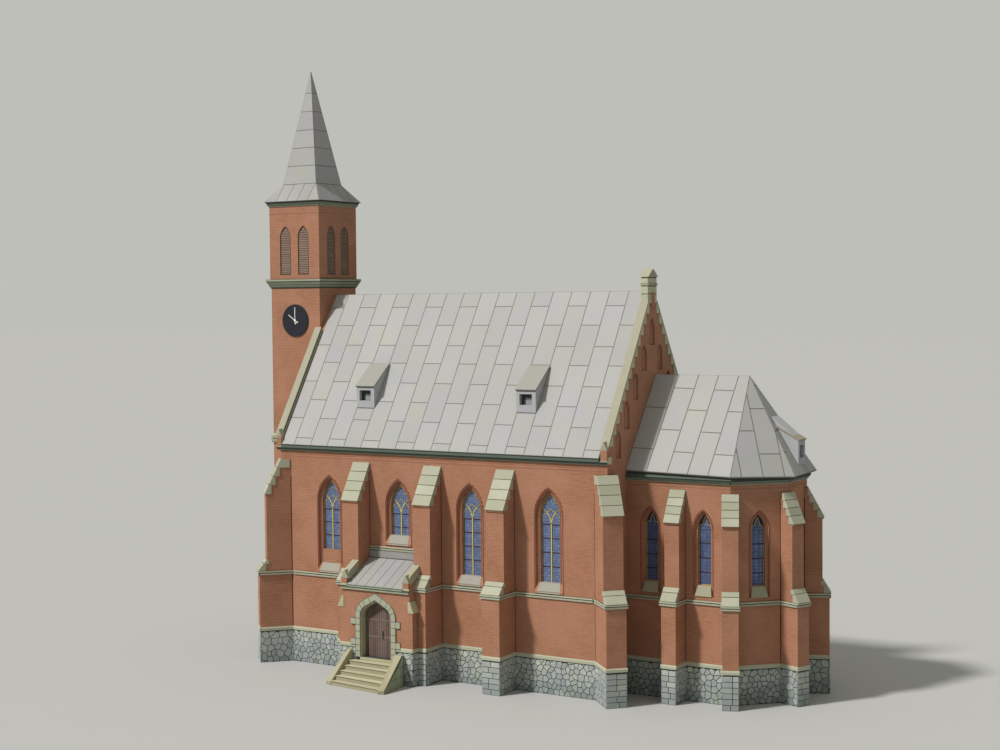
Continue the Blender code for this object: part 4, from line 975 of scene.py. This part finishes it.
# East gable and finial: the blind panels are outlined in red-brown. The finial's sides are pale
# stones, with thin dark lines under its cap, under its band and at the joint near its foot.
panel_lines = drawing()
finial_lines = drawing()
finial_stones = drawing()
BLIND_PANELS = (
    (0, 105.0, 113.1), (5.5, 97.3, 105.0), (11.5, 88.8, 96.7), (17.5, 80.2, 88.5), (23.3, 71.8, 79.9))
for offset, low, apex in BLIND_PANELS:
    for side in sorted({offset, -offset}):
        panel = on_wall(EAST_FACE, RIDGE_LINE + side, 90)
        outline = pointed_arch(1.5, low, apex - 2.4, apex + 0.15)
        ribbon(panel_lines, panel, outline, 0.22, -0.02, 0.04, 0.05)
        ribbon(panel_lines, panel, [(-1.5, low), (1.5, low)], 0.2, -0.02, 0.04, 0.9)
FINIAL_SIDES = (
    (on_wall(120.4, RIDGE_LINE - 3.0, 0), 0.0, 2.2), (on_wall(122.6, RIDGE_LINE, 90), -3.0, 3.0),
    (on_wall(122.6, RIDGE_LINE + 3.0, 180), 0.0, 2.2), (on_wall(120.4, RIDGE_LINE, -90), -3.0, 3.0))
for face, left, right in FINIAL_SIDES:
    for level in (121.0, 123.4, 126.0):
        ribbon(finial_lines, face, [(left, level), (right, level)], 0.2, -0.02, 0.05, 0.3)
    for low, high, tone in ((118.6, 120.85, 0.5), (121.1, 123.3, 0.8), (124.35, 125.9, 1.0)):
        plate(finial_stones, face, box(left, low, right, high), -0.02, 0.06, tone, 0.04)
piece("gable_panel_lines", panel_lines, arch_line_card)
piece("finial_lines", finial_lines, shadow_line)
piece("finial_stones", finial_stones, tooth_card)

# Dormers: small folded grey boxes. The sloping lid stands a little proud of the cheeks, grey on
# the nave and beige on the apse, and the square opening is printed dark with a lighter pane in
# its lower right half.
dormer_card = toned_card("printed_dormer_front_card", "#AEB0B8", "#B6B7BE", "#A9AEA8", 4.0)
lid_card = toned_card("printed_dormer_lid_card", "#949490", "#9E9E99", "#989894", 5.0)
dress(dormer_card, "roof_card", *[name for name in frame["nodes"] if "dormer" in name])
lids = drawing()
dark_openings = drawing()
dormer_panes = drawing()
for left in (26.8, 87.6):
    for face, start in ((on_wall(0, -26.3, 0), left), (on_wall(0, 21.5, 180), -left - 6.95)):
        lid = slope_place(moved(face, start, 0, 0), 0, 91.8, 8.9, 7.04)
        plate(lids, lid, box(-0.25, -0.35, 7.2, 11.2), 0.02, 0.42, 0.5, 0.08)
        plate(dark_openings, face, box(start + 1.1, 87.1, start + 5.6, 90.5), -1.6, -1.45, 0.2)
        plate(dormer_panes, face, box(start + 2.6, 87.15, start + 5.5, 89.3), -1.5, -1.35, 0.6)
        ribbon(dark_openings, face, [(start + 0.1, 91.5), (start + 6.85, 91.5)], 0.22, -0.02, 0.05, 0.3)
        ribbon(dark_openings, face, [(start + 0.1, 84.75), (start + 6.85, 84.75)], 0.2, -0.02, 0.05, 0.9)
apse_face = on_wall(169.9, 1.15, 90)
apse_lid = slope_place(moved(apse_face, -2.75, 0, 0), 0, 77.1, 8.4, 4.6)
apse_lid_card = toned_card("printed_apse_lid_card", "#8E8779", "#9B9385", "#948D80", 5.0)
apse_lids = drawing()
plate(apse_lids, apse_lid, box(-0.2, -0.3, 5.7, 9.3), 0.02, 0.4, 0.6, 0.08)
piece("apse_dormer_lid", apse_lids, apse_lid_card)
plate(dark_openings, apse_face, box(-1.6, 71.8, 1.6, 75.6), -1.8, -1.65, 0.2)
plate(dormer_panes, apse_face, box(-0.5, 71.9, 1.5, 74.2), -1.7, -1.55, 0.6)
opening_card = toned_card("printed_dormer_opening_card", "#343A3A", "#565C5A", "#404646", 4.0)
pane_card = toned_card("printed_dormer_pane_card", "#8D9494", "#9CA2A0", "#8A9090", 4.0)
piece("dormer_lids", lids, lid_card)
piece("dormer_openings", dark_openings, opening_card)
piece("dormer_panes", dormer_panes, pane_card)

# Porch front: a ring of pale stones with quoins round a stepped, greenish cream reveal, doors of
# grey-brown planks with paler rails, stone slopes on the side piers and a threshold. The joints
# are thin dark printed lines.
door_card = toned_card("printed_plank_card", "#60504C", "#7A6963", "#6B5C57", 2.5)
dress(door_card, "door_card")
dress(pale_stone, "stone_card", "porch_door_surround")
rail_card = toned_card("printed_door_rail_card", "#796A60", "#877669", "#7C6C62", 3.0)
reveal_card = toned_card("printed_reveal_stone_card", "#9C9A78", "#BDB99C", "#A8A686", 4.0)
PORCH_MIDDLE = 47.05
porch_front = on_wall(PORCH_MIDDLE, -45.5, 0)
porch_stones = drawing()
porch_lines = drawing()
planks = drawing()
rails = drawing()


def low_arch(foot, spring, apex, half, haunch, steps=6):
    """Outline of the low pointed doorway, from its right foot over the top to its left foot."""
    rise = apex - spring
    inset = half - haunch
    sweep = math.asin(haunch / math.hypot(rise, inset)) + math.atan2(inset, rise)
    right = []
    for step in range(steps + 1):
        angle = sweep * step / steps
        right.append((inset + haunch * math.cos(angle), spring + haunch * math.sin(angle)))
    return [(half, foot), *right, (0, apex), *[(-u, v) for u, v in right[::-1]], (-half, foot)]


def lining(outer, inner, back, front, tone):
    """One step of the stone reveal: the shape between two arches."""
    plate(porch_stones, porch_front, outer + inner[::-1], back, front, tone)


DOOR_SPRING = 20.5
reveal_step = low_arch(7.5, DOOR_SPRING, 25.6, 5.58, 3.45)
lining(low_arch(7.5, DOOR_SPRING, 25.83, 5.73, 3.58), reveal_step, -2.2, 0.1, 0.9)
# The inner step is the reveal stone at a darker tone, as painted shade beside the door.
painted_shade_step = low_arch(7.5, DOOR_SPRING, 25.3, 5.35, 3.3)
lining(low_arch(7.5, DOOR_SPRING, 25.62, 5.6, 3.45), painted_shade_step, -2.2, -1.4, 0.3)
ring_outer = low_arch(7.6, DOOR_SPRING, 28.05, 7.66, 5.8)
ring_inner = low_arch(7.6, DOOR_SPRING, 25.97, 5.88, 3.7)
for outline in (ring_outer, ring_inner):
    ribbon(porch_lines, porch_front, outline, 0.1, 0.3, 0.38, 0.9)
for number in (3, 5, 7):
    for side in (-1, 1):
        ends = [(side * outline[number][0], outline[number][1]) for outline in (ring_inner, ring_outer)]
        ribbon(porch_lines, porch_front, ends, 0.14, 0.3, 0.38, 0.6)
for side in (-1, 1):
    ribbon(porch_lines, porch_front, [(side * 1.9, 25.1), (side * 2.5, 26.65)], 0.14, 0.3, 0.38, 0.6)
    for level, reach in ((9.4, 7.7), (11.3, 9.45), (13.3, 9.45), (15.6, 7.7), (17.8, 9.45), (19.8, 9.45)):
        joint = [(side * 5.95, level), (side * reach, level)]
        ribbon(porch_lines, porch_front, joint, 0.14, 0.3, 0.38, 0.6)
    slope = [(side * 14.45, 22.9), (side * 12.3, 22.9), (side * 12.3, 26.4), (side * 12.85, 26.4)]
    plate(porch_stones, porch_front, slope, -0.05, 0.16, 0.8, 0.04)
    lower_edge = [(side * u, v) for u, v in box(10.7, 29.85, 13.1, 30.5)]
    plate(porch_stones, moved(porch_front, 0, 0, 0.4), lower_edge, -0.02, 0.12, 0.8, 0.04)
for pier_side in (on_wall(34.0, -42.65, -90), on_wall(59.9, -45.5, 90)):
    slope = slope_place(pier_side, 1.4, 22.9, 1.4, 3.5)
    plate(porch_stones, slope, box(-0.1, 0, 3.0, 3.75), -0.05, 0.2, 0.9, 0.05)
plate(porch_stones, porch_front, box(-6.0, 6.5, 6.0, 7.5), -0.05, 0.3, 0.7, 0.08)
leaf = low_arch(7.55, DOOR_SPRING, 25.45, 5.45, 3.35)
leaf_cuts = []
for start, end in zip(leaf, [*leaf[1:], leaf[0]]):
    step = (Vector(end) - Vector(start)).normalized()
    leaf_cuts.append((start, (step.y, -step.x)))
PLANK = 0.86
for count in range(-6, 6):
    board = trimmed(box(count * PLANK + 0.05, 7.5, (count + 1) * PLANK - 0.05, 26), leaf_cuts)
    if board:
        plate(planks, porch_front, board, -2.25, -2.08, random.random(), 0.03)
for level in (14.0, 19.4):
    for left, right in ((-5.0, -0.2), (0.2, 5.0)):
        ribbon(rails, porch_front, [(left, level), (right, level)], 0.35, -2.12, -2.02, 0.6)
ribbon(porch_lines, porch_front, [(1.3, 13.6), (1.3, 15.8)], 0.42, -2.1, -1.9, 0.0)
piece("porch_stonework", porch_stones, reveal_card)
piece("porch_joint_lines", porch_lines, shadow_line)
piece("door_planks", planks, door_card)
piece("door_rails", rails, rail_card)

# Porch flashing: a plain grey strip is printed on the wall above the porch roof.
flashing = drawing()
plate(flashing, on_wall(0, -33.45, 0), box(36.45, 37.4, 57.45, 39.35), -0.02, 0.12, 0.2, 0.04)
piece("porch_flashing", flashing, sheet_card)

# Porch steps: cream treads with a thin brown line under each edge lie between two sloping cream
# cheek walls. The east cheek's outer side is printed with large greenish stones.
step_card = toned_card("printed_step_card", "#A29E84", "#B0AC92", "#A8A48A", 4.0)
step_line_card = toned_card("printed_step_line_card", "#5E5B45", "#726F57", "#66634C", 4.0)
cheek_card = toned_card("printed_green_cheek_stone_card", "#8A977E", "#9FAC92", "#93A28A", 4.0)
tread_card = toned_card("printed_tread_card", "#ABA68B", "#BFBBA2", "#B1AD93", 4.0)
dress(step_card, "stone_card", "porch_steps")
treads = drawing()
step_lines = drawing()
cheek_stones = drawing()


def step_edge(share, side, overhang=0.0):
    """Point on the left or right edge of the spreading steps, from the wall to the front."""
    if side < 0:
        return 37.9 - 1.2 * share, -45.9 - 9.6 * share - overhang
    return 55.4 + 1.8 * share, -45.9 - 12.3 * share - overhang


TREADS = 5
STEP_TOP = 6.45
for count in range(TREADS):
    share = (count + 1) / TREADS
    level = laid((0, 0, STEP_TOP * (1 - count / TREADS)), (1, 0, 0), (0, 1, 0))
    back_edge = [step_edge(share - 0.19, 1), step_edge(share - 0.19, -1)]
    front_edge = [step_edge(share, -1, 0.12), step_edge(share, 1, 0.12)]
    plate(treads, level, front_edge + back_edge, -0.02, 0.14, random.random(), 0.04)
    under = moved(level, 0, 0, -0.16)
    line_back = [step_edge(share, 1, -0.2), step_edge(share, -1, -0.2)]
    line_front = [step_edge(share, -1, 0.05), step_edge(share, 1, 0.05)]
    plate(step_lines, under, line_front + line_back, -0.08, 0.08, 0.6)
east_cheek = laid((58.78, -57.92, 0), (-1.1, 11.85, 0), (0, 0, 1))
east_stones = (
    [(0.3, 0.1), (3.3, 0.1), (3.3, 3.1), (0.4, 1.0)], box(3.5, 0.1, 7.3, 3.1), box(7.5, 0.1, 10.7, 3.1),
    [(3.7, 3.3), (7.1, 3.3), (7.1, 5.5)], box(10.9, 0.1, 11.9, 3.1),
    [(7.3, 3.3), (10.3, 3.3), (10.3, 6.3), (8.2, 6.3), (7.3, 5.6)], box(10.5, 3.3, 11.9, 6.3),
    [(8.4, 6.5), (11.9, 6.5), (11.9, 9.3), (10.9, 9.3), (10.5, 8.2)])
joint_shade = [(0.2, 0.05), (12.0, 0.05), (12.0, 9.5), (11.0, 9.5), (0.2, 1.0)]
plate(step_lines, east_cheek, joint_shade, -0.05, 0.02, 0.9)
for number, stone in enumerate(east_stones):
    plate(cheek_stones, east_cheek, stone, -0.05, 0.06, (number * 0.37) % 1, 0.03)
piece("step_treads", treads, tread_card)
piece("step_shadow_lines", step_lines, step_line_card)
piece("step_cheek_stones", cheek_stones, cheek_card)
